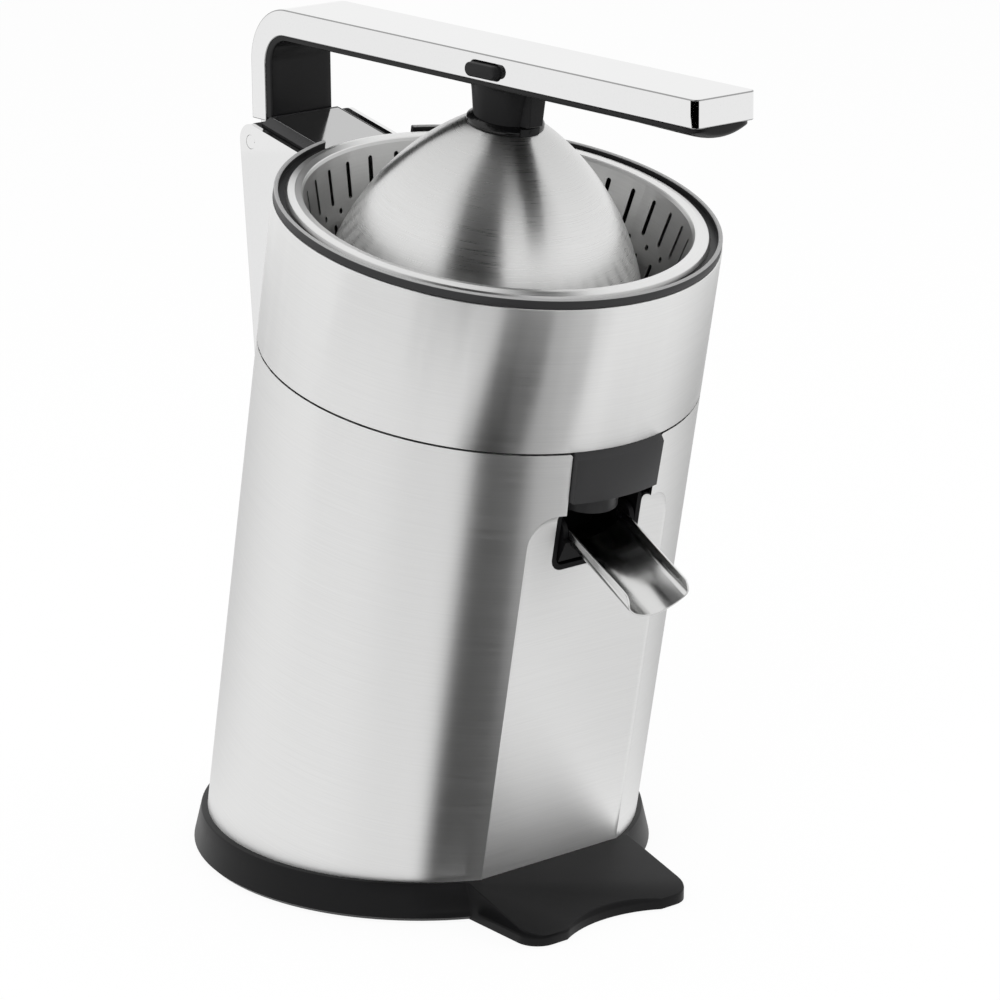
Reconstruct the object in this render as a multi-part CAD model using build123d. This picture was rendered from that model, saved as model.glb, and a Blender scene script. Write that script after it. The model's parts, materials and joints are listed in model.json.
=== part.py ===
from build123d import *
from math import atan2, cos, degrees, pi, radians, sin, sqrt, tan
import os

# Millimetres. The press stands on z = 0, its front looks along -Y, and its body leans forward about X.
# Heights called _s are measured along the leaning body axis, sizes called _y from that axis.

# Leaning body
body_lean = 10.58
body_r = 88.0
skin = 1.0
seam_s = 217.7
seam_gap = 0.7
band_top_s = 277.1
seat_fit = 0.2
slip_fit = 0.05

# Front facet with its recess and the outlet notch
facet_y = 80.5
facet_half = 38.0
facet_top_s = 191.0
facet_corner = 14.0
facet_fillet = 4.5
recess_half = 21.2
recess_low_s = 164.5
recess_corner = 5.6
recess_depth = 25.5
recess_wall = 2.0
notch_half = 22.2
notch_low_s = 190.0
notch_round = 1.4

# Base
base_top = 15.7
base_lift = 0.8
base_y = -2.7
base_foot_r = 94.1
base_top_r = 91.0
base_edge = 1.6
base_wall = 3.0
base_roof = 2.5
base_hole_r = 58.0
plug_wall = 2.4
plug_top_s = 34.0
nose_half = 41.5
nose_front = 125.5
nose_corner = 9.5
nose_lip = 5.0
ramp_start = 85.2
dish_r = 50.0
dish_depth = 6.4
cover_t = 2.2
foot_ring_r = 84.0
foot_ring_w = 7.0
foot_ring_sunk = 1.2
screw_r = 1.5
screw_head_r = 3.0
screw_head_t = 1.3
boss_r = 4.5
boss_ring_r = 66.0
boss_count = 4
boss_turn = 45.0
bottom_screw_len = 8.5
gland_r = 4.6
gland_bore_r = 3.2
gland_flange_r = 6.6
gland_flange_t = 2.0
gland_z = 8.4
gland_sunk = 3.4
gland_inside = 9.0

# Deck, chimneys and shaft bearing
deck_top_s = 214.0
deck_t = 3.0
deck_skirt = 9.0
deck_skirt_t = 2.4
deck_slot_half = 16.0
deck_slot_y = 56.0
chimney_r = 13.0
chimney_top_s = 228.0
chimney_low_s = 203.0
bush_r = 9.0
bush_top_s = 224.6
seal_t = 3.2
shaft_r = 5.0
shaft_low_s = 172.0
shaft_shoulder_s = 232.0
shaft_hex = 8.0
shaft_hex_len = 30.0
tie_rod_r = 3.0
tie_ring_r = 76.0
tie_angles = (-28.0, 208.0, 128.0, 12.0)

# Bowl and band
bowl_wall_in_r = 84.2
bowl_spigot_r = 86.5
bowl_spigot_t = 2.5
bowl_rim_r = 87.6
bowl_rim_in_r = 85.9
bowl_rim_s = 281.0
bowl_rim_round = 0.4
bowl_ledge_r = 80.8
bowl_ledge_s = 278.0
bowl_ledge_t = 1.2
bowl_gutter_r = 80.0
bowl_gutter_s = 219.8
bowl_gutter_rise = 4.2
bowl_floor_s = 226.0
bowl_floor_t = 3.2
bowl_chimney_r = 17.0
bowl_chimney_wall = 2.5
bowl_chimney_s = 236.0
hinge_notch_half = 22.2
hinge_notch_s = 270.3
nozzle_y = 71.0
nozzle_r = 13.0
nozzle_wall = 2.0
nozzle_low_s = 187.5
outlet_top_half = 21.7
outlet_low_half = 21.0
outlet_low_s = 196.8
outlet_r = 90.3
outlet_in_r = 83.4

# Sieve
sieve_t = 0.8
sieve_rim_r = 83.0
sieve_rim_s = 280.9
sieve_mouth_r = 76.0
sieve_mouth_s = 279.0
sieve_slope = 0.256
sieve_low_s = 241.0
sieve_floor_s = 238.0
sieve_floor_r = 62.0
sieve_hub_s = 241.0
sieve_hub_top_s = 245.0
slot_count = 36
slot_w = 2.2
slot_top_s = 275.5
slot_low_s = 261.0
slot_turn = 4.2
low_slot_top_s = 253.5
low_slot_low_s = 244.0
dot_s = 257.8

# Press cone
cone_skirt_r = 38.0
cone_skirt_s = 246.5
cone_skirt_t = 2.5
cone_r = 33.0
cone_mid_r = 24.0
cone_mid_s = 279.0
cone_foot_lean = 0.1
cone_tip_s = 302.0
cone_boss_r = 8.6
cone_hollow_r = 29.0
cone_hollow_t = 5.0
cone_socket_top_s = 268.0
rib_count = 10
rib_w = 2.6
rib_h = 2.2

# Gears, motor and start travel
gear_addendum = 0.9
gear_dedendum = 1.3
gear_backlash = 0.42
gear_flank = 20.0
out_module = 1.5
out_teeth = 40
out_pinion_teeth = 12
in_module = 1.0
in_teeth = 48
in_pinion_teeth = 12
out_gear_low_s = 193.0
out_gear_t = 8.0
idler_low_s = 184.0
idler_gear_t = 6.0
idler_pinion_t = 16.0
idler_axle_r = 2.5
rotor_shaft_r = 2.5
rotor_core_r = 13.0
rotor_air_gap = 1.0
rotor_way = 1.0
rotor_pinion_low_s = 182.0
rotor_pinion_t = 10.0
plate_low_s = 174.0
plate_t = 4.0
plate_margin = 7.0
motor_r = 28.0
motor_low_s = 112.0
motor_end_t = 6.0
pillar_r = 4.0
pillar_spots = ((-41.0, -5.0), (40.0, -12.0), (-36.0, 58.0), (62.0, 32.0))
plate_screw_len = 12.0
cup_r = 9.0
cup_low_s = 165.0
cup_top_s = 181.0
cup_flange_r = 11.0
cup_flange_t = 2.0
stirrup_half = 14.0
stirrup_w = 12.0
stirrup_low_s = 149.0
stirrup_t = 1.6
stirrup_foot = 6.0
spring_r = 7.0
spring_wire = 1.2
switch_len = 13.0
switch_high = 8.0
switch_t = 6.0
switch_low_s = 153.0

# Spout
spout_pivot_y = 75.5
spout_pivot_s = 179.8
spout_slope = 16.3
spout_half = 15.4
spout_edge_h = 3.4
spout_side = 4.0
spout_depth = 11.4
spout_t = 0.9
spout_corner = 4.6
spout_start = 2.0
spout_len = 46.5
spout_lip_round = 5.0
carrier_r = 6.0
carrier_w = 2.2
carrier_saddle = 8.0
carrier_saddle_t = 1.6
spout_pin_r = 1.8

# Hinge tower
tower_half = 24.0
cheek_t = 2.0
cheek_top_s = 272.0
cheek_corner = 7.3
tower_top_s = 271.0
tower_foot_s = 103.0
tower_gap = 0.3
pivot_y = 75.7
pivot_z = 283.5
pin_r = 2.9
pin_fit = 0.06
swing_r = 16.2
swing_half = 16.6
cover_low_half = 21.0
cover_top_half = 17.0
cover_edge_t = 1.0
cover_top_s = 274.2
cover_front_y = 83.6
cover_rear_y = 126.6
inlay_half = 16.6
inlay_t = 0.8
inlay_edge = 1.0
tower_screw_r = 2.0
tower_screw_x = 12.0
tower_screw_s = (160.0, 190.0)
tower_screw_len = 14.0
tower_screw_head_r = 3.6
tower_screw_head_t = 2.4

# Lever
lever_rear_y = 89.3
lever_top_z = 337.4
lever_rise = 1.09
lever_len = 270.3
lever_rear_w = 31.4
lever_front_w = 29.8
lever_front_corner = 3.0
lever_h = 10.8
lever_up_t = 9.6
lever_bend_r = 23.5
lever_inner_r = 13.0
lever_up_len = 47.4
lever_wall = 2.2
lever_top_t = 2.2
tongue_half = 11.6
tongue_r = 5.8
tongue_top = 46.5
tongue_low = 53.0
bush_wall = 1.4
liner_drop = 2.0
liner_front_t = 3.6
liner_inner_r = 10.0
liner_inset = 0.4
liner_crown = 2.2
liner_up_len = 45.8
liner_gap = 0.15
liner_corner = 7.0
liner_screw_shares = (0.222, 0.388, 0.832)
liner_screw_len = 7.0
button_len = 18.0
button_h = 5.5
button_a = 150.8
button_b = 6.2
button_proud = 3.2
button_gap = 0.3
button_deep = 11.4
button_key_len = 21.6
button_key_h = 5.2
button_key_t = 1.1
button_key_gap = 0.15
button_travel = 2.0
button_well = 5.0
button_spring_r = 2.6
button_spring_t = 0.6

# Dome and its holder
dome_y = 2.9
dome_low_r = 62.0
dome_low_s = 252.0
dome_mid_r = 41.2
dome_mid_s = 292.8
dome_top_r = 15.4
dome_top_s = 315.6
dome_t = 1.0
dome_hole_r = 8.0
collar_r = 15.2
collar_edge = 1.6
collar_top_r = 13.0
collar_top_s = 318.8
collar_spigot_len = 6.6
nut_af = 20.0
nut_t = 4.0
holder_a = 147.2
holder_top_r = 15.0
holder_low_r = 12.9
holder_stem = 3.4
lug_half = 4.2
lug_a = 162.1
lug_drop = 42.0
lug_gap = 0.3
lug_pin_r = 1.0
lug_pin_deep = 1.0
lug_pin_drop = 30.8

LOW = (Align.CENTER, Align.CENTER, Align.MIN)
lean = Rot(body_lean, 0, 0)
tall = 5 * body_r


def drum(radius, low, high, x=0, y=0):
    return Pos(x, y, low) * Cylinder(radius, high - low, align=LOW)


def tube(outer, inner, low, high, x=0, y=0):
    return drum(outer, low, high, x, y) - drum(inner, low, high, x, y)


def rod_x(radius, x0, x1, y, z):
    return Pos(x0, y, z) * Rot(0, 90, 0) * Cylinder(radius, x1 - x0, align=LOW)


def rod_y(radius, y0, y1, x, z):
    return Pos(x, y1, z) * Rot(90, 0, 0) * Cylinder(radius, y1 - y0, align=LOW)


def block(x0, x1, y0, y1, z0, z1):
    return Pos((x0 + x1) / 2, (y0 + y1) / 2, (z0 + z1) / 2) * Box(x1 - x0, y1 - y0, z1 - z0)


def polygon(*points):
    return make_face(Polyline(*points, close=True))


def lathe(*points):
    return revolve(Plane.XZ * polygon(*points), Axis.Z)


def side_plate(face, x0, x1):
    return Pos(x0, 0, 0) * extrude(Plane.YZ * face, x1 - x0)


def front_cut(face, y0, y1):
    # a face drawn in x and s, pushed along y from y0 back to y1
    return Pos(0, y1, 0) * extrude(Plane.XZ * face, y1 - y0)


def above(z):
    return Pos(0, 0, z) * Box(4 * tall, 4 * tall, 4 * tall, align=LOW)


def upright_face(half, low, high, corner, top_round):
    face = Pos(0, (low + high) / 2) * Rectangle(2 * half, high - low)
    if top_round:
        return fillet(face.vertices().group_by(Axis.Y)[-1], corner)
    return fillet(face.vertices().group_by(Axis.Y)[0], corner)


def leaned_point(y, s):
    t = radians(body_lean)
    return (y * cos(t) - s * sin(t), y * sin(t) + s * cos(t))


def unleaned_point(y, z):
    t = radians(body_lean)
    return (y * cos(t) + z * sin(t), z * cos(t) - y * sin(t))


# Front facet of the sleeve, also used for what stands inside it
def facet_cutter(grow):
    face = upright_face(facet_half + grow, -tall, facet_top_s + grow, facet_corner + grow, True)
    cutter = front_cut(face, -tall, -(facet_y - grow))
    return fillet(cutter.faces().sort_by(Axis.Y)[-1].edges(), facet_fillet + grow)


def sleeve_core(inset):
    return drum(body_r - inset, -body_r, seam_s - seam_gap) - facet_cutter(inset)


def outlet_notch():
    top = seam_s - seam_gap
    face = polygon(
        (-recess_half, notch_low_s), (recess_half, notch_low_s), (notch_half, top), (-notch_half, top)
    )
    face += Pos(0, top + notch_half) * Rectangle(4 * notch_half, 2 * notch_half)
    corners = face.vertices().group_by(Axis.Y)[1].sort_by(lambda v: abs(v.X))[:2]
    return front_cut(fillet(corners, notch_round), -tall, -deck_slot_y)


def housing_sleeve():
    shell = sleeve_core(0) - sleeve_core(skin)
    recess = upright_face(recess_half, recess_low_s, notch_low_s + notch_round, recess_corner, False)
    shell -= outlet_notch()
    shell -= front_cut(recess, -tall, -deck_slot_y)
    for x, s in tower_screw_places():
        shell -= rod_y(tower_screw_r + seat_fit, 0, tall, x, s)
    return (lean * shell) & above(base_top)


# Base
def nose_outline(inset):
    half = nose_half - inset
    front = nose_front - inset
    plan = Pos(0, -front / 2) * Rectangle(2 * half, front)
    plan = fillet(plan.vertices().group_by(Axis.Y)[0], nose_corner - inset)
    return plan - Pos(0, -(nose_front - dish_depth + dish_r)) * Circle(dish_r + inset)


def over_ramp(drop):
    slope = (base_top - nose_lip) / (nose_front - ramp_start)
    ends = (ramp_start, nose_front + ramp_start)
    line = [(-y, base_top - drop - slope * (y - ramp_start)) for y in ends]
    roof = [(-ends[1], 2 * base_top), (-ends[0], 2 * base_top)]
    return side_plate(polygon(*line, *roof), -tall, tall)


def base_room(inset, low, high):
    plan = Pos(0, base_y) * Circle(base_top_r - inset) + nose_outline(inset)
    return Pos(0, 0, low) * extrude(plan, high - low)


def boss_places():
    step = 360 / boss_count
    turns = [radians(boss_turn + step * k) for k in range(boss_count)]
    return [(boss_ring_r * cos(a), base_y + boss_ring_r * sin(a)) for a in turns]


def base_tray():
    foot = (base_foot_r - base_edge, base_lift)
    side = (base_foot_r, base_lift + base_edge)
    body = Pos(0, base_y, 0) * lathe((0, base_lift), foot, side, (base_top_r, base_top), (0, base_top))
    body += Pos(0, 0, base_lift) * extrude(nose_outline(0), base_top - base_lift)
    body -= over_ramp(0)
    room = base_room(base_wall, base_lift, base_top - base_roof) - over_ramp(base_roof)
    body -= room
    body -= drum(base_hole_r, 0, base_top + base_roof, 0, base_y)
    plug = sleeve_core(skin + seat_fit) - sleeve_core(skin + seat_fit + plug_wall)
    plug = (lean * (plug - above(plug_top_s))) & above(base_top - base_roof / 2)
    body += plug
    for x, y in boss_places():
        body += drum(boss_r, base_lift + cover_t, base_top - base_roof / 2, x, y)
    for x, y in boss_places():
        body -= drum(screw_r, 0, base_lift + bottom_screw_len, x, y)
    seat = gland_flange_r + seat_fit
    body -= block(-seat, seat, gland_seat_y(), tall, gland_z - seat, gland_z + seat)
    body -= rod_y(gland_r + seat_fit, gland_seat_y() - 3 * base_wall, tall, 0, gland_z)
    return body


def bottom_cover():
    plate = base_room(base_wall + seat_fit, base_lift, base_lift + cover_t)
    top = base_lift + foot_ring_sunk
    plate -= Pos(0, base_y, 0) * tube(
        foot_ring_r + seat_fit, foot_ring_r - foot_ring_w - seat_fit, 0, top
    )
    for x, y in boss_places():
        plate -= drum(screw_r + slip_fit, 0, base_top, x, y)
        plate -= drum(screw_head_r + seat_fit, 0, base_lift + screw_head_t, x, y)
    return plate


def foot_ring():
    return tube(foot_ring_r, foot_ring_r - foot_ring_w, 0, base_lift + foot_ring_sunk, 0, base_y)


def bottom_screws():
    screws = []
    for x, y in boss_places():
        head = drum(screw_head_r, base_lift, base_lift + screw_head_t, x, y)
        shank = drum(screw_r - slip_fit, base_lift, base_lift + bottom_screw_len - seat_fit, x, y)
        screws.append(head + shank)
    return screws


def gland_seat_y():
    return base_y + base_foot_r - gland_sunk


def cord_gland():
    seat = gland_seat_y()
    flange = rod_y(gland_flange_r, seat, seat + gland_flange_t, 0, gland_z)
    neck = rod_y(gland_r, seat - gland_inside, seat + gland_flange_t, 0, gland_z)
    bore = rod_y(gland_bore_r, 0, tall, 0, gland_z)
    return flange + neck - bore


# Deck under the bowl, with the pillars of the gear plate
def deck_under_s():
    return deck_top_s - deck_t


def motor_deck():
    r = body_r - skin - seat_fit
    deck = drum(r, deck_under_s(), deck_top_s)
    deck += tube(r, r - deck_skirt_t, deck_under_s() - deck_skirt, deck_under_s())
    deck += drum(chimney_r, chimney_low_s, chimney_top_s)
    deck -= drum(bush_r, chimney_low_s, chimney_top_s)
    slot = recess_half + recess_wall
    deck -= block(-slot, slot, -tall, -deck_slot_y, deck_under_s() - deck_skirt, deck_under_s())
    deck -= block(-deck_slot_half, deck_slot_half, -tall, -deck_slot_y, 0, tall)
    deck -= block(-notch_half, notch_half, -tall, -facet_y + seat_fit, 0, tall)
    inside = deck_top_s - deck_t / 2
    for x, y in pillar_spots:
        deck += drum(pillar_r, plate_low_s + plate_t, inside, x, y)
    for x, y in pillar_spots:
        deck -= drum(screw_r, plate_low_s, plate_low_s + plate_screw_len, x, y)
    deck -= drum(idler_axle_r + slip_fit, deck_under_s() - deck_skirt, inside, *idler_place())
    return lean * deck


def shaft_bush():
    return lean * tube(bush_r - slip_fit, shaft_r + pin_fit, chimney_low_s, bush_top_s)


def shaft_seal():
    return lean * tube(bush_r - slip_fit, shaft_r + pin_fit, bush_top_s, bush_top_s + seal_t)


def tie_rods():
    rods = []
    for a in tie_angles:
        x = tie_ring_r * cos(radians(a))
        y = tie_ring_r * sin(radians(a))
        rods.append((lean * drum(tie_rod_r, 0, deck_under_s(), x, y)) & above(base_top))
    return rods


# Gear train and motor
def idler_place():
    return (0, out_module * (out_teeth + out_pinion_teeth) / 2)


def motor_place():
    x, y = idler_place()
    return (x + in_module * (in_teeth + in_pinion_teeth) / 2, y)


def gear(teeth, module, low, high, turn, place):
    pitch = teeth * module / 2
    half = pi * module / 4 - gear_backlash / 2
    lean_in = tan(radians(gear_flank))
    tip = pitch + gear_addendum * module
    root = pitch - gear_dedendum * module
    tip_half = (half - gear_addendum * module * lean_in) / tip
    root_half = (half + gear_dedendum * module * lean_in) / root
    points = []
    for k in range(teeth):
        mid = radians(turn) + 2 * pi * k / teeth
        flank = ((root, -root_half), (tip, -tip_half), (tip, tip_half), (root, root_half))
        for r, a in flank:
            points.append((r * cos(mid + a), r * sin(mid + a)))
    x, y = place
    return Pos(x, y, low) * extrude(polygon(*points), high - low)


def output_gear():
    wheel = gear(out_teeth, out_module, out_gear_low_s, out_gear_low_s + out_gear_t, 0, (0, 0))
    return lean * (wheel - drum(shaft_r + slip_fit, 0, tall))


def idler_gear():
    top = idler_low_s + idler_gear_t
    wheel = gear(in_teeth, in_module, idler_low_s, top, 0, idler_place())
    wheel += gear(
        out_pinion_teeth, out_module, top, top + idler_pinion_t, 180 / out_pinion_teeth, idler_place()
    )
    return lean * (wheel - drum(idler_axle_r + pin_fit, 0, tall, *idler_place()))


def idler_axle():
    return lean * drum(idler_axle_r, plate_low_s, deck_top_s - deck_t / 2, *idler_place())


def motor_rotor():
    bottom = motor_low_s + motor_end_t / 2
    top = rotor_pinion_low_s + rotor_pinion_t
    core_low = motor_low_s + 2 * motor_end_t
    core_top = plate_low_s - 2 * motor_end_t
    rotor = drum(rotor_shaft_r, bottom, rotor_pinion_low_s, *motor_place())
    rotor += drum(rotor_core_r, core_low, core_top, *motor_place())
    rotor += gear(
        in_pinion_teeth, in_module, rotor_pinion_low_s, top, 180 / in_pinion_teeth, motor_place()
    )
    return lean * rotor


def motor_stator():
    place = motor_place()
    can = drum(motor_r, motor_low_s, plate_low_s, *place)
    room = rotor_core_r + rotor_air_gap
    can -= drum(room, motor_low_s + motor_end_t, plate_low_s - motor_end_t, *place)
    return lean * (can - drum(rotor_shaft_r + pin_fit, motor_low_s + motor_end_t / 2, tall, *place))


def gear_plate():
    x, y = motor_place()
    outline = Pos(x, y) * Circle(motor_r)
    for px, py in pillar_spots:
        outline += Pos(px, py) * Circle(plate_margin)
    plate = Pos(0, 0, plate_low_s) * extrude(make_hull(outline.edges()), plate_t)
    plate -= drum(cup_r + pin_fit, 0, tall)
    plate -= drum(rotor_shaft_r + rotor_way, 0, tall, x, y)
    plate -= drum(idler_axle_r + slip_fit, 0, tall, *idler_place())
    for px, py in pillar_spots:
        plate -= drum(screw_r + slip_fit, 0, tall, px, py)
    return lean * plate


def plate_screws():
    screws = []
    low = plate_low_s - screw_head_t
    top = plate_low_s + plate_screw_len - seat_fit
    for x, y in pillar_spots:
        head = drum(screw_head_r, low, plate_low_s, x, y)
        shank = drum(screw_r - slip_fit, low, top, x, y)
        screws.append(lean * (head + shank))
    return screws


# Press travel: the shaft stands in a sprung cup
def drive_shaft():
    shaft = drum(shaft_r, shaft_low_s, shaft_shoulder_s)
    prism = extrude(RegularPolygon(shaft_hex / 2, 6, major_radius=False), shaft_hex_len)
    return lean * (shaft + Pos(0, 0, shaft_shoulder_s) * prism)


def thrust_cup():
    cup = drum(cup_r, cup_low_s, cup_top_s)
    cup += drum(cup_flange_r, cup_low_s, cup_low_s + cup_flange_t)
    return lean * (cup - drum(shaft_r + slip_fit, shaft_low_s, tall))


def return_spring():
    return lean * tube(spring_r, spring_r - spring_wire, stirrup_low_s + stirrup_t, cup_low_s)


def spring_stirrup():
    out = stirrup_half + stirrup_t
    half_w = stirrup_w / 2
    stirrup = block(-out, out, -half_w, half_w, stirrup_low_s, plate_low_s)
    stirrup -= block(
        -stirrup_half, stirrup_half, -stirrup_w, stirrup_w, stirrup_low_s + stirrup_t, plate_low_s
    )
    for side in (-1, 1):
        ends = sorted((side * stirrup_half, side * (out + stirrup_foot)))
        stirrup += block(*ends, -half_w, half_w, plate_low_s - stirrup_t, plate_low_s)
    return lean * stirrup


def start_switch():
    out = stirrup_half + stirrup_t
    body = block(
        -out - switch_t, -out, -switch_len / 2, switch_len / 2, switch_low_s, switch_low_s + switch_high
    )
    return lean * body


# Spout: drawn with its pivot at the origin and its channel along -Y
def spout_place():
    return lean * Pos(0, -spout_pivot_y, spout_pivot_s) * Rot(spout_slope, 0, 0)


def spout_section(inset, top):
    half = spout_half - inset
    side = spout_edge_h - spout_side
    floor = spout_edge_h - spout_depth + inset
    outline = Polyline((-half, side), (-half, top), (half, top), (half, side))
    arc = ThreePointArc((half, side), (0, floor), (-half, side))
    section = make_face(outline + arc)
    return fillet(section.vertices().group_by(Axis.Y)[0], spout_corner - inset)


def spout_bar(inset, top, start, end):
    return Pos(0, -start, 0) * extrude(Plane.XZ * spout_section(inset, top), end - start)


def spout_chute():
    channel = spout_bar(0, spout_edge_h, spout_start, spout_len)
    channel -= spout_bar(spout_t, spout_edge_h + spout_t, 0, spout_len + spout_t)
    low = spout_edge_h - spout_depth
    side = Pos(-spout_len / 2, (low + spout_edge_h) / 2) * Rectangle(spout_len, spout_depth)
    corner = side.vertices().group_by(Axis.X)[0].sort_by(Axis.Y)[-1]
    side = fillet(corner, spout_lip_round)
    return spout_place() * (channel & side_plate(side, -tall, tall))


def spout_carrier():
    reach = spout_half + seat_fit
    low = spout_edge_h - spout_depth - carrier_saddle_t
    saddle = block(-reach, reach, -carrier_saddle, -spout_start, low, 0)
    for side in (-1, 1):
        ends = sorted((side * reach, side * (reach + carrier_w)))
        saddle += rod_x(carrier_r, *ends, 0, 0)
        saddle += block(*ends, -carrier_saddle, 0, low, 0)
    saddle -= spout_bar(-seat_fit, tall, -tall, tall)
    saddle -= rod_x(spout_pin_r + pin_fit, -tall, tall, 0, 0)
    return spout_place() * saddle


def spout_bezel():
    half = recess_half - seat_fit
    low = recess_low_s + seat_fit
    shape = upright_face(half, low, deck_under_s(), recess_corner, False)
    shell = front_cut(shape, -facet_y, -facet_y + recess_depth)
    room = upright_face(half - recess_wall, low + recess_wall, tall, recess_corner - recess_wall, False)
    shell -= front_cut(room, -tall, -facet_y + recess_depth - recess_wall)
    shell -= rod_x(spout_pin_r + slip_fit, -tall, tall, -spout_pivot_y, spout_pivot_s)
    return lean * shell


def spout_pins():
    outer = recess_half - seat_fit
    pins = []
    for side in (-1, 1):
        ends = sorted((side * outer, side * (spout_half + 2 * seat_fit)))
        pins.append(lean * rod_x(spout_pin_r, *ends, -spout_pivot_y, spout_pivot_s))
    return pins


# Bowl: rim, wall, gutter floor, chimney, outlet cover and nozzle in one moulding
def hinge_notch():
    return block(-hinge_notch_half, hinge_notch_half, 0, tall, hinge_notch_s, tall)


def bowl_band():
    band = tube(body_r, body_r - skin, seam_s, band_top_s)
    return lean * (band - hinge_notch())


def juice_bowl():
    wall = body_r - skin - seat_fit
    spigot_in = bowl_spigot_r - bowl_spigot_t
    top = band_top_s + seat_fit / 2
    under = bowl_gutter_s - bowl_floor_t
    chimney_in = bowl_chimney_r - bowl_chimney_wall
    ledge_low = bowl_ledge_s - bowl_ledge_t
    bowl = lathe(
        (spigot_in, deck_top_s),
        (bowl_spigot_r, deck_top_s),
        (bowl_spigot_r, seam_s),
        (wall, seam_s),
        (wall, top),
        (bowl_rim_r, top),
        (bowl_rim_r, bowl_rim_s - bowl_rim_round),
        (bowl_rim_r - bowl_rim_round, bowl_rim_s),
        (bowl_rim_in_r + bowl_rim_round, bowl_rim_s),
        (bowl_rim_in_r, bowl_rim_s - bowl_rim_round),
        (bowl_rim_in_r, bowl_ledge_s),
        (bowl_ledge_r, bowl_ledge_s),
        (bowl_ledge_r, ledge_low),
        (bowl_wall_in_r, ledge_low - (bowl_wall_in_r - bowl_ledge_r)),
        (bowl_wall_in_r, bowl_gutter_s + bowl_gutter_rise),
        (bowl_gutter_r, bowl_gutter_s),
        (bowl_chimney_r, bowl_floor_s),
        (bowl_chimney_r, bowl_chimney_s),
        (chimney_in, bowl_chimney_s),
        (chimney_in, bowl_floor_s - bowl_floor_t),
        (bowl_chimney_r, bowl_floor_s - bowl_floor_t),
        (bowl_gutter_r, under),
        (spigot_in, under),
    )
    bowl -= hinge_notch()
    bowl += drum(nozzle_r, nozzle_low_s, bowl_gutter_s, 0, -nozzle_y)
    apron = polygon(
        (-outlet_low_half, outlet_low_s),
        (outlet_low_half, outlet_low_s),
        (outlet_top_half, seam_s),
        (-outlet_top_half, seam_s),
    )
    hood = lathe(
        (outlet_in_r, outlet_low_s),
        (outlet_r, outlet_low_s),
        (outlet_r, seam_s - (outlet_r - body_r)),
        (body_r, seam_s),
        (outlet_in_r, seam_s),
    )
    bowl += hood & front_cut(apron, -tall, -facet_y - seat_fit)
    bowl -= drum(nozzle_r - nozzle_wall, 0, bowl_floor_s, 0, -nozzle_y)
    return lean * bowl


# Sieve: rolled rim, slotted cone wall, sloping floor and hub
def sieve_r(s):
    return sieve_mouth_r - (sieve_mouth_s - s) * sieve_slope


def sieve_slot(top, low):
    face = Pos(0, (top + low) / 2) * Rot(0, 0, 90) * SlotOverall(top - low, slot_w)
    return front_cut(face, -sieve_rim_r + 2 * sieve_t, -sieve_floor_r)


def sieve():
    t = sieve_t
    hub = bowl_chimney_r + 2 * seat_fit
    crest = (sieve_rim_r + sieve_mouth_r) / 2
    low_r = sieve_r(sieve_low_s)
    shell = lathe(
        (sieve_rim_r, bowl_ledge_s),
        (sieve_rim_r, bowl_ledge_s + t),
        (sieve_rim_r - t, sieve_rim_s - t),
        (crest, sieve_rim_s),
        (sieve_mouth_r + t, sieve_rim_s - t / 2),
        (sieve_mouth_r, sieve_mouth_s),
        (low_r, sieve_low_s),
        (sieve_floor_r, sieve_floor_s),
        (hub + t, sieve_hub_s),
        (hub + t, sieve_hub_top_s),
        (hub, sieve_hub_top_s),
        (hub, sieve_hub_s - t),
        (sieve_floor_r + t / 2, sieve_floor_s - t),
        (low_r + t, sieve_low_s - t / 2),
        (sieve_mouth_r + t, sieve_mouth_s - t),
        (sieve_mouth_r + 2 * t, sieve_rim_s - 2 * t),
        (crest, sieve_rim_s - t),
        (sieve_rim_r - 2 * t, sieve_rim_s - 2 * t),
        (sieve_rim_r - t, bowl_ledge_s),
    )
    cuts = []
    step = 360 / slot_count
    dot = rod_y(slot_w / 2, -sieve_rim_r + 2 * t, -sieve_floor_r, 0, dot_s)
    for k in range(slot_count):
        cuts.append(Rot(0, 0, slot_turn + step * k) * sieve_slot(slot_top_s, slot_low_s))
        cuts.append(Rot(0, 0, slot_turn + step * k) * sieve_slot(low_slot_top_s, low_slot_low_s))
        cuts.append(Rot(0, 0, step * k) * dot)
    return lean * (shell - cuts)


# Ribbed press cone on the shaft's hexagon
def cone_shape(grow):
    low = cone_skirt_s + cone_skirt_t
    start = (cone_r + grow, low)
    middle = (cone_mid_r + grow, cone_mid_s)
    end = (0, cone_tip_s + grow / 2)
    curve = Spline(start, middle, end, tangents=((-cone_foot_lean, 1), (-1, 0)))
    rest = Polyline(end, (0, low), start)
    return revolve(Plane.XZ * make_face(curve + rest), Axis.Z)


def press_cone():
    cone = cone_shape(0)
    star = block(0, cone_skirt_r, -rib_w / 2, rib_w / 2, cone_skirt_s, tall)
    grown = cone_shape(rib_h)
    for k in range(rib_count):
        cone += grown & (Rot(0, 0, 360 * k / rib_count) * star)
    cone += drum(cone_skirt_r, cone_skirt_s, cone_skirt_s + cone_skirt_t)
    cone -= drum(cone_hollow_r, 0, cone_skirt_s + cone_hollow_t)
    cone += drum(cone_boss_r, shaft_shoulder_s, cone_socket_top_s)
    socket = RegularPolygon(shaft_hex / 2 + slip_fit, 6, major_radius=False)
    cone -= Pos(0, 0, shaft_shoulder_s) * extrude(socket, cone_socket_top_s - shaft_shoulder_s)
    return lean * cone


# Hinge tower on the sleeve's rear
def pivot_local():
    return unleaned_point(pivot_y, pivot_z)


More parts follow.
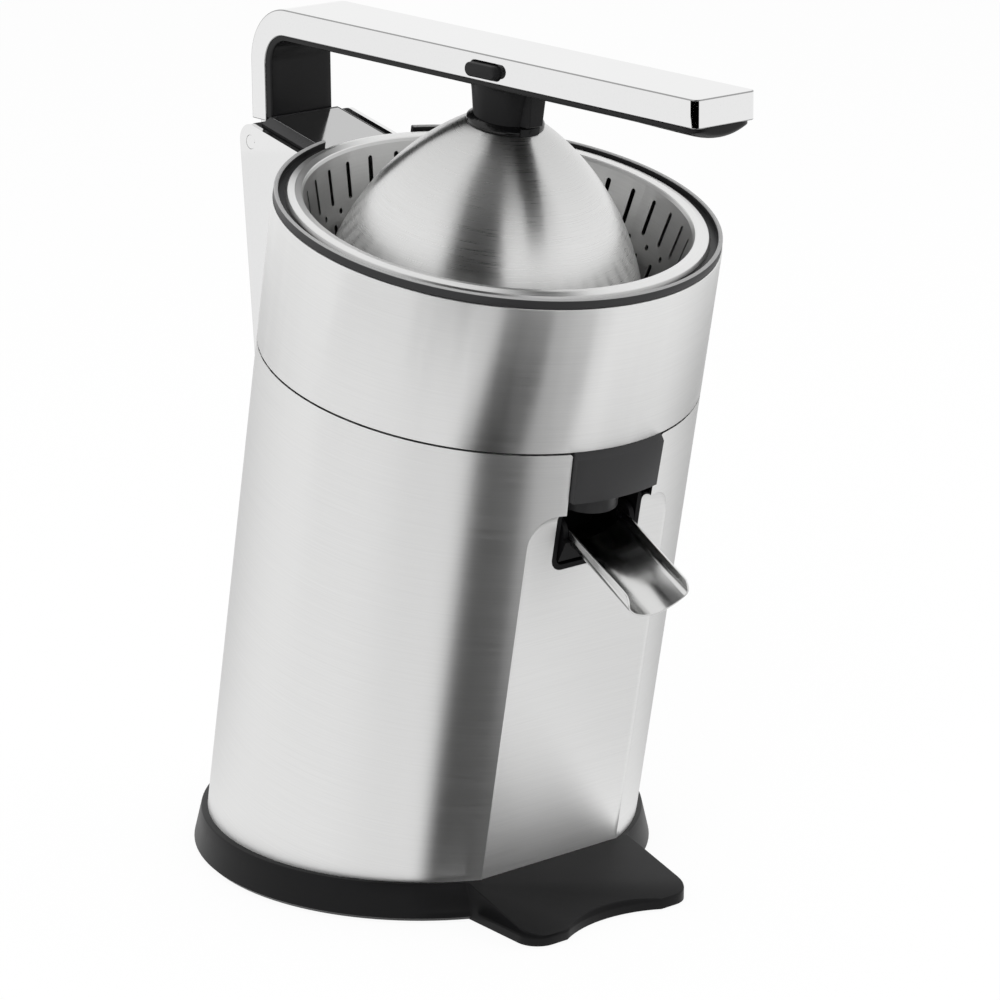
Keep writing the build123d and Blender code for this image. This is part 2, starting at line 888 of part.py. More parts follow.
def tower_face(top):
    y, s = pivot_local()
    reach = sqrt((y - body_r) ** 2 + (s - tower_foot_s) ** 2)
    turn = atan2(s - tower_foot_s, y - body_r)
    tilt = turn - atan2(cheek_corner, sqrt(reach**2 - cheek_corner**2))
    rear = (y + cheek_corner * sin(tilt), s - cheek_corner * cos(tilt))
    foot = (body_r, tower_foot_s)
    wedge = polygon((body_r / 2, tower_foot_s), foot, rear, (y, s), (y, top), (body_r / 2, top))
    return wedge + Pos(y, s) * Circle(cheek_corner)


def tower_screw_places():
    return [(x, s) for x in (-tower_screw_x, tower_screw_x) for s in tower_screw_s]


def beside_body(shape):
    return shape - drum(body_r + tower_gap, -body_r, 2 * tall)


def hinge_tower():
    y, s = pivot_local()
    core = side_plate(tower_face(cheek_top_s), -tower_half, tower_half) - above(tower_top_s)
    core = beside_body(core)
    core -= rod_x(swing_r, -swing_half, swing_half, y, s)
    core -= block(-swing_half, swing_half, y, tall, s - swing_r, tall)
    core -= rod_x(pin_r + slip_fit, -tall, tall, y, s)
    for x, low in tower_screw_places():
        core -= rod_y(tower_screw_r + slip_fit, 0, body_r + tower_screw_len, x, low)
    return lean * core


def cheek(side):
    y, s = pivot_local()
    ends = sorted((side * tower_half, side * (tower_half + cheek_t)))
    plate = beside_body(side_plate(tower_face(cheek_top_s), *ends))
    return lean * (plate - rod_x(pin_r + slip_fit, -tall, tall, y, s))


def hinge_inlay(grow):
    half = inlay_half + grow
    rear = cover_rear_y - inlay_edge + grow
    plate = block(-half, half, 0, rear, cover_top_s - inlay_t, cover_top_s)
    return plate - drum(cover_front_y + inlay_edge - grow, 0, 2 * tall)


def hinge_frame():
    low = (cover_low_half, tower_top_s)
    edge = (cover_low_half, tower_top_s + cover_edge_t)
    top = (cover_top_half, cover_top_s)
    right = [low, edge, top]
    left = [(-x, s) for x, s in reversed(right)]
    frame = front_cut(polygon(*right, *left), 0, cover_rear_y)
    frame -= drum(cover_front_y, 0, 2 * tall)
    return lean * (frame - hinge_inlay(slip_fit))


def hinge_cover():
    return lean * hinge_inlay(0)


def lever_pin():
    y, s = pivot_local()
    out = tower_half + cheek_t
    return lean * rod_x(pin_r, -out, out, y, s)


def tower_screws():
    screws = []
    inner = body_r - skin
    for x, s in tower_screw_places():
        seat = sqrt(inner**2 - (abs(x) + tower_screw_head_r) ** 2) - seat_fit
        head = rod_y(tower_screw_head_r, seat - tower_screw_head_t, seat, x, s)
        shank = rod_y(tower_screw_r, seat - tower_screw_head_t, body_r + tower_screw_len - seat_fit, x, s)
        screws.append(lean * (head + shank))
    return screws


# Lever: drawn with its rear top edge at the origin, the arm along -Y
def lever_place():
    return Pos(0, lever_rear_y, lever_top_z) * Rot(-lever_rise, 0, 0)


def pivot_in_lever():
    t = radians(lever_rise)
    y = pivot_y - lever_rear_y
    z = pivot_z - lever_top_z
    return (y * cos(t) - z * sin(t), y * sin(t) + z * cos(t))


def lever_strip(skin_t, arm_t, up_t, inner_r, front, low):
    bend = lever_bend_r
    outer_r = bend - skin_t
    k = sqrt(0.5)
    top = Line((-front, -skin_t), (-bend, -skin_t))
    outer = ThreePointArc((-bend, -skin_t), (-bend + outer_r * k, -bend + outer_r * k), (-skin_t, -bend))
    y = -up_t - inner_r
    z = -arm_t - inner_r
    rear = Polyline((-skin_t, -bend), (-skin_t, -low), (-up_t, -low), (-up_t, z))
    inner = ThreePointArc((-up_t, z), (y + inner_r * k, z + inner_r * k), (y, -arm_t))
    under = Polyline((y, -arm_t), (-front, -arm_t), (-front, -skin_t))
    return make_face(top + outer + rear + inner + under)


def lever_plan(inset, corner):
    rear = lever_rear_w / 2 - inset
    front = lever_front_w / 2 - inset
    end = lever_len - inset
    plan = polygon((-rear, 0), (-front, -end), (front, -end), (rear, 0))
    plan = fillet(plan.vertices().group_by(Axis.Y)[0], corner)
    return Pos(0, 0, -tall) * extrude(plan, 2 * tall)


def pocket_half():
    return lever_front_w / 2 - lever_wall


def lever_slab(half, *sizes):
    return side_plate(lever_strip(*sizes), -half, half)


def button_shape(grow, deep, proud):
    face = SlotOverall(button_len + 2 * grow, button_h + 2 * grow)
    bar = Pos(deep, 0, 0) * extrude(Plane.YZ * face, proud - deep)
    return Pos(0, -button_a, -button_b) * bar


def lever_arm():
    wide = lever_rear_w
    arm = lever_slab(wide, 0, lever_h, lever_up_t, lever_inner_r, lever_len, lever_up_len)
    arm &= lever_plan(0, lever_front_corner)
    arm -= lever_slab(
        pocket_half(),
        lever_top_t,
        lever_h + lever_wall,
        lever_up_t + lever_wall,
        lever_inner_r - lever_wall,
        lever_len - lever_wall,
        lever_up_len - 2 * lever_wall,
    )
    y, z = pivot_in_lever()
    foot = Rectangle(lever_up_t, tongue_low - tongue_top)
    foot = Pos(-lever_up_t / 2, -(tongue_top + tongue_low) / 2) * foot
    outline = foot + Pos(y, z) * Circle(tongue_r)
    arm += side_plate(make_hull(outline.edges()), -tongue_half, tongue_half)
    arm -= rod_x(pin_r + bush_wall + slip_fit, -tall, tall, y, z)
    for side in (0, 180):
        arm -= turned(side, button_shape(button_gap, button_well, wide))
    return lever_place() * arm


def turned(angle, shape):
    # the same shape on the other side of the lever
    if angle:
        return mirror(shape, Plane.YZ)
    return shape


def lever_bush():
    y, z = pivot_in_lever()
    bush = rod_x(pin_r + bush_wall, -tongue_half, tongue_half, y, z)
    return lever_place() * (bush - rod_x(pin_r + pin_fit, -tall, tall, y, z))


def holder_seat():
    under = lever_h + liner_drop
    return drum(holder_top_r, -under - holder_stem, -under, 0, -holder_a)


def liner_screw_places():
    return [share * lever_len for share in liner_screw_shares]


def lever_liner():
    gap = liner_gap
    sizes = (lever_h + liner_drop, lever_up_t + liner_front_t, liner_inner_r)
    plug = lever_slab(
        pocket_half() - gap,
        lever_top_t + gap,
        *sizes,
        lever_len - lever_wall - gap,
        lever_up_len - 2 * lever_wall - gap,
    )
    plan = lever_plan(liner_inset, liner_corner)
    flange = lever_slab(lever_rear_w, lever_top_t, *sizes, lever_len, liner_up_len) & plan
    flange -= lever_slab(
        tall, -tall, lever_h + gap, lever_up_t + gap, lever_inner_r - gap, 2 * lever_len, 2 * lever_up_len
    )
    half = lever_rear_w / 2
    crown_r = (half**2 + liner_crown**2) / (2 * liner_crown)
    low = lever_h + liner_drop + liner_crown
    start = lever_up_t + liner_front_t + liner_inner_r
    crown = rod_y(crown_r, -lever_len, -start, 0, crown_r - low)
    crown &= block(-half, half, -lever_len, -start, -low, -lever_h - liner_drop)
    liner = plug + flange + (crown & plan)
    liner -= holder_seat()
    for side in (0, 180):
        well = button_key_len / 2 + button_gap
        liner -= turned(
            side,
            block(button_well, lever_rear_w, -button_a - well, -button_a + well, -lever_h - gap, 0),
        )
    for a in liner_screw_places():
        liner -= drum(screw_r + slip_fit, -tall, -lever_top_t, 0, -a)
        liner -= drum(screw_head_r + seat_fit, -tall, -lever_h - liner_drop, 0, -a)
    return lever_place() * liner


def liner_screws():
    screws = []
    under = -lever_h - liner_drop
    for a in liner_screw_places():
        head = drum(screw_head_r, under - screw_head_t, under, 0, -a)
        shank = drum(screw_r - slip_fit, under - screw_head_t, under + liner_screw_len, 0, -a)
        screws.append(lever_place() * (head + shank))
    return screws


def button_face_x():
    share = button_a / lever_len
    return (lever_rear_w + (lever_front_w - lever_rear_w) * share) / 2


def release_button(side):
    button = button_shape(0, button_deep, button_face_x() + button_proud)
    half_l = button_key_len / 2
    half_h = button_key_h / 2
    key_out = pocket_half() - button_key_gap
    button += block(
        key_out - button_key_t,
        key_out,
        -button_a - half_l,
        -button_a + half_l,
        -button_b - half_h,
        -button_b + half_h,
    )
    return lever_place() * turned(side, button)


def button_spring(side):
    spring = rod_x(button_spring_r, button_well, button_deep, -button_a, -button_b)
    spring -= rod_x(button_spring_r - button_spring_t, 0, tall, -button_a, -button_b)
    return lever_place() * turned(side, spring)


# Press dome with its collar, nut and holder
def dome_profile(inset):
    low = (dome_low_r - inset, dome_low_s)
    middle = (dome_mid_r - inset, dome_mid_s - inset)
    top = (dome_top_r - inset, dome_top_s - inset)
    curve = ThreePointArc(low, middle, top)
    rest = Polyline(top, (0, dome_top_s - inset), (0, dome_low_s), low)
    return revolve(Plane.XZ * make_face(curve + rest), Axis.Z)


def press_dome():
    bell = dome_profile(0) - dome_profile(dome_t) - drum(dome_hole_r, 0, 2 * tall)
    return lean * Pos(0, dome_y, 0) * bell


def dome_collar():
    spigot = dome_hole_r - slip_fit
    ring = lathe(
        (0, dome_top_s - collar_spigot_len),
        (spigot, dome_top_s - collar_spigot_len),
        (spigot, dome_top_s),
        (collar_r, dome_top_s),
        (collar_r, dome_top_s + collar_edge),
        (collar_top_r, collar_top_s),
        (0, collar_top_s),
    )
    return lean * Pos(0, dome_y, 0) * ring


def dome_nut():
    low = dome_top_s - dome_t - nut_t
    nut = Pos(0, 0, low) * extrude(RegularPolygon(nut_af / 2, 6, major_radius=False), nut_t)
    return lean * Pos(0, dome_y, 0) * (nut - drum(dome_hole_r, 0, 2 * tall))


def dome_holder():
    # a tapered post, with a lug in front that reaches down over the collar
    stem_low = -lever_h - liner_drop - holder_stem
    top = Plane(lever_place() * Location((0, -holder_a, stem_low)))
    low = Plane(lean * Location((0, dome_y, collar_top_s)))
    post = loft([top * Circle(holder_top_r), low * Circle(holder_low_r)])
    lug = block(-lug_half, lug_half, -lug_a, -holder_a, -lug_drop, stem_low)
    lug -= rod_y(lug_pin_r, -lug_a, -lug_a + lug_pin_deep, 0, -lug_pin_drop)
    room = dome_profile(-lug_gap) + drum(collar_r + lug_gap, dome_low_s, collar_top_s)
    lug = lever_place() * lug - lean * Pos(0, dome_y, 0) * room
    return post + lever_place() * holder_seat() + lug


os.makedirs("parts", exist_ok=True)

nodes = {
    "base_tray": base_tray(),
    "bottom_cover": bottom_cover(),
    "foot_ring": foot_ring(),
    "bottom_screws": bottom_screws(),
    "cord_gland": cord_gland(),
    "housing_sleeve": housing_sleeve(),
    "motor_deck": motor_deck(),
    "tie_rods": tie_rods(),
    "shaft_bush": shaft_bush(),
    "shaft_seal": shaft_seal(),
    "gear_plate": gear_plate(),
    "plate_screws": plate_screws(),
    "idler_axle": idler_axle(),
    "idler_gear": idler_gear(),
    "output_gear": output_gear(),
    "motor_rotor": motor_rotor(),
    "motor_stator": motor_stator(),
    "drive_shaft": drive_shaft(),
    "thrust_cup": thrust_cup(),
    "return_spring": return_spring(),
    "spring_stirrup": spring_stirrup(),
    "start_switch": start_switch(),
    "spout_bezel": spout_bezel(),
    "spout_pins": spout_pins(),
    "spout_chute": spout_chute(),
    "spout_carrier": spout_carrier(),
    "bowl_band": bowl_band(),
    "juice_bowl": juice_bowl(),
    "sieve": sieve(),
    "press_cone": press_cone(),
    "hinge_tower": hinge_tower(),
    "left_cheek": cheek(-1),
    "right_cheek": cheek(1),
    "hinge_frame": hinge_frame(),
    "hinge_cover": hinge_cover(),
    "lever_pin": lever_pin(),
    "tower_screws": tower_screws(),
    "lever_arm": lever_arm(),
    "lever_bush": lever_bush(),
    "lever_liner": lever_liner(),
    "liner_screws": liner_screws(),
    "left_button": release_button(180),
    "right_button": release_button(0),
    "left_button_spring": button_spring(180),
    "right_button_spring": button_spring(0),
    "dome_holder": dome_holder(),
    "dome_collar": dome_collar(),
    "dome_nut": dome_nut(),
    "press_dome": press_dome(),
}

for name, shape in nodes.items():
    solids = []
    for piece in shape if isinstance(shape, list) else [shape]:
        solids.extend(piece.solids())
    whole = solids[0] if len(solids) == 1 else Compound(children=solids)
    export_step(whole, f"parts/{name}.step")
    print(name, len(solids), round(sum(s.volume for s in solids)))
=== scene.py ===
import json
import math

import bmesh
import bpy
from mathutils import Matrix, Quaternion, Vector


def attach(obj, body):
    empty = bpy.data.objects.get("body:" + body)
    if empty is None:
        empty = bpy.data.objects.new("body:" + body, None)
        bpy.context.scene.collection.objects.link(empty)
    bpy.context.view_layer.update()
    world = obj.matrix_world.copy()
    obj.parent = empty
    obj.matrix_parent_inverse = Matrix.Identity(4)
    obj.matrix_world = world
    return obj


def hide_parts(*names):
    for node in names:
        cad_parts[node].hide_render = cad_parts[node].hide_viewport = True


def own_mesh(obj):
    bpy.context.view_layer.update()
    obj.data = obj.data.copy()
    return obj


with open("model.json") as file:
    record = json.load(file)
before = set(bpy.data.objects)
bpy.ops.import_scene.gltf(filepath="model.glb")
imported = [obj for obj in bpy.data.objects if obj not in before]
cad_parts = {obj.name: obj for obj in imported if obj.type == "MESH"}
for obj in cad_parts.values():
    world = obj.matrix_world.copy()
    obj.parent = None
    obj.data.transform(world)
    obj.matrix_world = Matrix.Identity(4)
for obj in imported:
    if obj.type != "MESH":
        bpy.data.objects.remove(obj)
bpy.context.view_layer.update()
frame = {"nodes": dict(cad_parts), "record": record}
nodes = frame["nodes"]
scene = bpy.context.scene
scene.view_settings.view_transform = "Standard"
print("frame loaded:", len(nodes), "nodes")

# The body leans forward about X by this angle; its axis runs through the origin
lean = math.radians(10.58)
bodyAxis = Vector((0, -math.sin(lean), math.cos(lean)))
bodyFrame = Matrix.Rotation(lean, 4, "X")

# The lever's frame starts at the upper rear corner and follows the slope of the arm
leverCorner = (0, 0.0893, 0.3374)
leverSlope = math.radians(-1.09)
leverFrame = Matrix.Translation(leverCorner) @ Matrix.Rotation(leverSlope, 4, "X")

# Lengths for joining and comparing points
tiny = 0.000001
mergeGap = 0.000002


# Camera at the photograph's angle
camera = {
    "place": (-1.03380, -1.31520, 0.67080),
    "target": (0.043369, 0.0, 0.136581),
    "lens": 155.75,
    "sensor": 36.0,
    "roll": 0.244,
    "near": 0.05,
    "far": 40,
}


def makeCamera(spec):
    data = bpy.data.cameras.new("studioCamera")
    data.lens = spec["lens"]
    data.sensor_width = spec["sensor"]
    data.clip_start = spec["near"]
    data.clip_end = spec["far"]
    obj = bpy.data.objects.new("studioCamera", data)
    look = Vector(spec["target"]) - Vector(spec["place"])
    turn = look.to_track_quat("-Z", "Y") @ Quaternion((0, 0, 1), math.radians(spec["roll"]))
    obj.matrix_world = Matrix.Translation(spec["place"]) @ turn.to_matrix().to_4x4()
    scene.collection.objects.link(obj)
    scene.camera = obj


makeCamera(camera)
print("camera placed")


# Small helpers for shader nodes
def addNode(tree, kind, values=None, **options):
    node = tree.nodes.new(kind)
    for key, value in options.items():
        setattr(node, key, value)
    for key, value in (values or {}).items():
        node.inputs[key].default_value = value
    return node


def wire(tree, source, target):
    tree.links.new(source, target)


def mathNode(tree, operation, first, second=None):
    node = addNode(tree, "ShaderNodeMath", operation=operation)
    for slot, value in enumerate((first, second)):
        if value is None:
            continue
        if isinstance(value, (int, float)):
            node.inputs[slot].default_value = value
        else:
            wire(tree, value, node.inputs[slot])
    return node.outputs[0]


def remap(tree, value, source, target, **options):
    limits = {"From Min": source[0], "From Max": source[1], "To Min": target[0], "To Max": target[1]}
    node = addNode(tree, "ShaderNodeMapRange", limits, **options)
    wire(tree, value, node.inputs["Value"])
    return node.outputs["Result"]


def radiusOf(tree, x, y):
    squares = [mathNode(tree, "MULTIPLY", part, part) for part in (x, y)]
    return mathNode(tree, "SQRT", mathNode(tree, "ADD", *squares))


def average(tree, first, second):
    return mathNode(tree, "MULTIPLY", mathNode(tree, "ADD", first, second), 0.5)


def newGroup(name, inputs, outputs):
    group = bpy.data.node_groups.new(name, "ShaderNodeTree")
    for label, kind, value in inputs:
        socket = group.interface.new_socket(name=label, in_out="INPUT", socket_type=kind)
        if value is not None:
            socket.default_value = value
    for label, kind in outputs:
        group.interface.new_socket(name=label, in_out="OUTPUT", socket_type=kind)
    entry = group.nodes.new("NodeGroupInput")
    leave = group.nodes.new("NodeGroupOutput")
    return group, entry, leave


# Noise of the two surface groups, and the part of its range that is used
lineNoise = {"Scale": 1.0, "Detail": 3.0, "Roughness": 0.6}
lineShares = (1.0, 0.55)
lineRange = (0.3, 0.7)
grainNoise = {"Detail": 2.0, "Roughness": 0.5}
cloudNoise = {"Detail": 4.0, "Roughness": 0.55}
glossRange = (0.25, 0.75)


# Brushing that runs in circles round the body's axis
def makeBrushGroup():
    group, entry, leave = newGroup(
        "brushLines",
        [
            ("Place", "NodeSocketVector", None),
            ("Along", "NodeSocketFloat", 1.0),
            ("Outward", "NodeSocketFloat", 0.0),
            ("Fine", "NodeSocketFloat", 2600.0),
            ("Stretch", "NodeSocketFloat", 45.0),
        ],
        [("Height", "NodeSocketFloat"), ("Tone", "NodeSocketFloat")],
    )
    split = addNode(group, "ShaderNodeSeparateXYZ")
    wire(group, entry.outputs["Place"], split.inputs[0])
    x, y, z = split.outputs
    along = mathNode(group, "MULTIPLY", z, entry.outputs["Along"])
    outward = mathNode(group, "MULTIPLY", radiusOf(group, x, y), entry.outputs["Outward"])
    flow = mathNode(group, "ADD", along, outward)
    lines = []
    for share in lineShares:
        spot = addNode(group, "ShaderNodeCombineXYZ")
        stretch = mathNode(group, "MULTIPLY", entry.outputs["Stretch"], share)
        wire(group, mathNode(group, "MULTIPLY", x, stretch), spot.inputs[0])
        wire(group, mathNode(group, "MULTIPLY", y, stretch), spot.inputs[1])
        fine = mathNode(group, "MULTIPLY", entry.outputs["Fine"], share)
        wire(group, mathNode(group, "MULTIPLY", flow, fine), spot.inputs[2])
        noise = addNode(group, "ShaderNodeTexNoise", lineNoise)
        wire(group, spot.outputs[0], noise.inputs["Vector"])
        lines.append(noise.outputs[0])
    mixed = average(group, *lines)
    wire(group, mixed, leave.inputs["Height"])
    wire(group, remap(group, mixed, lineRange, (0.0, 1.0)), leave.inputs["Tone"])
    return group


# Fine grain of a surface, with slow changes of gloss
def makeGrainGroup():
    group, entry, leave = newGroup(
        "mouldGrain",
        [
            ("Place", "NodeSocketVector", None),
            ("Grain", "NodeSocketFloat", 2200.0),
            ("Cloud", "NodeSocketFloat", 35.0),
        ],
        [("Height", "NodeSocketFloat"), ("Gloss", "NodeSocketFloat"), ("Tone", "NodeSocketFloat")],
    )
    grain = addNode(group, "ShaderNodeTexNoise", grainNoise)
    wire(group, entry.outputs["Place"], grain.inputs["Vector"])
    wire(group, entry.outputs["Grain"], grain.inputs["Scale"])
    cloud = addNode(group, "ShaderNodeTexNoise", cloudNoise)
    wire(group, entry.outputs["Place"], cloud.inputs["Vector"])
    wire(group, entry.outputs["Cloud"], cloud.inputs["Scale"])
    wire(group, grain.outputs[0], leave.inputs["Height"])
    wire(group, cloud.outputs[0], leave.inputs["Gloss"])
    wire(group, average(group, grain.outputs[0], cloud.outputs[0]), leave.inputs["Tone"])
    return group


brushLines = makeBrushGroup()
mouldGrain = makeGrainGroup()

# Depth that a full bump stands for on each kind of surface
bumpDepth = {"brushed": 0.0002, "polished": 0.0001, "moulded": 0.0003}

# Colour sockets of a Mix node: the two inputs and the result
mixFirst, mixSecond, mixResult = 6, 7, 2


def startMaterial(name, metallic, specular=0.5):
    material = bpy.data.materials.new(name)
    material.use_nodes = True
    tree = material.node_tree
    shader = tree.nodes["Principled BSDF"]
    shader.inputs["Metallic"].default_value = metallic
    shader.inputs["Specular IOR Level"].default_value = specular
    place = addNode(tree, "ShaderNodeTexCoord").outputs["Object"]
    return material, tree, shader, place


def colourBetween(tree, factor, dark, light):
    mix = addNode(tree, "ShaderNodeMix", data_type="RGBA")
    mix.inputs[mixFirst].default_value = (*dark, 1)
    mix.inputs[mixSecond].default_value = (*light, 1)
    wire(tree, factor, mix.inputs[0])
    return mix.outputs[mixResult]


def bump(tree, shader, height, strength, distance):
    node = addNode(tree, "ShaderNodeBump", {"Strength": strength, "Distance": distance})
    wire(tree, height, node.inputs["Height"])
    wire(tree, node.outputs[0], shader.inputs["Normal"])


def leanPlace(tree, place, offset=(0, 0, 0)):
    turn = addNode(tree, "ShaderNodeMapping", {"Rotation": (-lean, 0, 0), "Location": offset})
    wire(tree, place, turn.inputs["Vector"])
    return turn.outputs[0]


def rimTint(tree, place, colour, rim):
    # paints highlight and shade as another tint above a height on the body's axis, if wanted only near
    # that axis
    split = addNode(tree, "ShaderNodeSeparateXYZ")
    wire(tree, leanPlace(tree, place), split.inputs[0])
    x, y, z = split.outputs
    mask = remap(tree, z, (rim["low"], rim["high"]), (0.0, 1.0))
    if "within" in rim:
        inside = mathNode(tree, "LESS_THAN", radiusOf(tree, x, y), rim["within"])
        mask = mathNode(tree, "MULTIPLY", mask, inside)
    mix = addNode(tree, "ShaderNodeMix", data_type="RGBA")
    wire(tree, mask, mix.inputs[0])
    wire(tree, colour, mix.inputs[mixFirst])
    mix.inputs[mixSecond].default_value = (*rim["tint"], 1)
    return mix.outputs[mixResult]


def brushedSteel(name, spec):
    material, tree, shader, place = startMaterial(name, 1.0)
    lines = addNode(tree, "ShaderNodeGroup", node_tree=brushLines)
    for label in ("Along", "Outward", "Fine", "Stretch"):
        lines.inputs[label].default_value = spec[label]
    wire(tree, leanPlace(tree, place, spec.get("offset", (0, 0, 0))), lines.inputs["Place"])
    tone = lines.outputs["Tone"]
    colour = colourBetween(tree, tone, spec["dark"], spec["light"])
    # a band of painted light or shade above a height, where the finish has one
    if "rim" in spec:
        colour = rimTint(tree, place, colour, spec["rim"])
    wire(tree, colour, shader.inputs["Base Color"])
    wire(tree, remap(tree, tone, glossRange, spec["rough"]), shader.inputs["Roughness"])
    bump(tree, shader, lines.outputs["Height"], spec["bump"], bumpDepth["brushed"])
    shader.inputs["Anisotropic"].default_value = spec["pull"]
    axis = addNode(tree, "ShaderNodeCombineXYZ", {"X": bodyAxis.x, "Y": bodyAxis.y, "Z": bodyAxis.z})
    toWorld = addNode(
        tree, "ShaderNodeVectorTransform", vector_type="VECTOR", convert_from="OBJECT", convert_to="WORLD",
    )
    wire(tree, axis.outputs[0], toWorld.inputs[0])
    wire(tree, toWorld.outputs[0], shader.inputs["Tangent"])
    return material


def grainedSurface(name, spec, metallic, specular, depth):
    material, tree, shader, place = startMaterial(name, metallic, specular)
    grain = addNode(tree, "ShaderNodeGroup", node_tree=mouldGrain)
    grain.inputs["Grain"].default_value = spec["grain"]
    grain.inputs["Cloud"].default_value = spec["cloud"]
    wire(tree, place, grain.inputs["Place"])
    colour = colourBetween(tree, grain.outputs["Tone"], spec["dark"], spec["light"])
    # bands of painted shade in the ring's groove and of painted light above a height
    for part in ("paintedGrooveShade", "rim"):
        if part in spec:
            colour = rimTint(tree, place, colour, spec[part])
    wire(tree, colour, shader.inputs["Base Color"])
    wire(tree, remap(tree, grain.outputs["Gloss"], glossRange, spec["rough"]), shader.inputs["Roughness"])
    bump(tree, shader, grain.outputs["Height"], spec["bump"], depth)
    return material


def polishedMetal(name, spec):
    return grainedSurface(name, spec, 1.0, 0.5, bumpDepth["polished"])


def mouldedPlastic(name, spec):
    return grainedSurface(name, spec, 0.0, spec["specular"], bumpDepth["moulded"])


steelFinishes = {
    "brushed_body": {
        "Along": 1.0, "Outward": 0.0, "Fine": 3000.0, "Stretch": 40.0,
        "dark": (0.765, 0.765, 0.76), "light": (0.825, 0.825, 0.82),
        "rough": (0.33, 0.37), "bump": 0.02, "pull": 0.86,
    },
    "dome_steel": {
        "Along": 1.0, "Outward": -1.0, "Fine": 3600.0, "Stretch": 70.0, "offset": (0, -0.0029, 0),
        "dark": (0.69, 0.69, 0.685), "light": (0.82, 0.82, 0.815),
        "rough": (0.27, 0.33), "bump": 0.007, "pull": 0.8,
        # painted shade: the dome is darker towards the collar at its top
        "rim": {"low": 0.282, "high": 0.318, "tint": (0.58, 0.58, 0.575)},
    },
    "strainer_steel": {
        "Along": 0.6, "Outward": 1.0, "Fine": 2400.0, "Stretch": 50.0,
        "dark": (0.53, 0.53, 0.525), "light": (0.59, 0.59, 0.585),
        "rough": (0.30, 0.36), "bump": 0.008, "pull": 0.4,
        # painted highlight: the sieve's top rim is lighter than its wall
        "rim": {"low": 0.27995, "high": 0.28025, "tint": (0.78, 0.78, 0.775)},
    },
}
polishFinishes = {
    "lever_chrome": {
        "grain": 900.0, "cloud": 18.0, "dark": (0.78, 0.78, 0.78), "light": (0.83, 0.83, 0.83),
        "rough": (0.03, 0.05), "bump": 0.0005,
    },
    # painted shade for the lever's rounded edges
    "paintedEdgeShade": {
        "grain": 900.0, "cloud": 18.0, "dark": (0.30, 0.30, 0.30), "light": (0.36, 0.36, 0.36),
        "rough": (0.14, 0.2), "bump": 0.002,
    },
    "hingePlate": {
        "grain": 1400.0, "cloud": 24.0, "dark": (0.46, 0.46, 0.46), "light": (0.52, 0.52, 0.52),
        "rough": (0.07, 0.12), "bump": 0.004,
    },
    "chuteSteel": {
        "grain": 1500.0, "cloud": 40.0, "dark": (0.66, 0.66, 0.655), "light": (0.74, 0.74, 0.735),
        "rough": (0.16, 0.22), "bump": 0.01,
    },
    "bright_steel": {
        "grain": 1500.0, "cloud": 60.0, "dark": (0.55, 0.55, 0.55), "light": (0.68, 0.68, 0.68),
        "rough": (0.22, 0.38), "bump": 0.05,
    },
    "bush_brass": {
        "grain": 1500.0, "cloud": 60.0, "dark": (0.62, 0.46, 0.2), "light": (0.75, 0.58, 0.28),
        "rough": (0.25, 0.4), "bump": 0.05,
    },
    "motor_iron": {
        "grain": 1200.0, "cloud": 50.0, "dark": (0.16, 0.16, 0.17), "light": (0.26, 0.26, 0.27),
        "rough": (0.45, 0.6), "bump": 0.15,
    },
    "plate_metal": {
        "grain": 1200.0, "cloud": 50.0, "dark": (0.55, 0.55, 0.56), "light": (0.68, 0.68, 0.69),
        "rough": (0.35, 0.5), "bump": 0.1,
    },
}
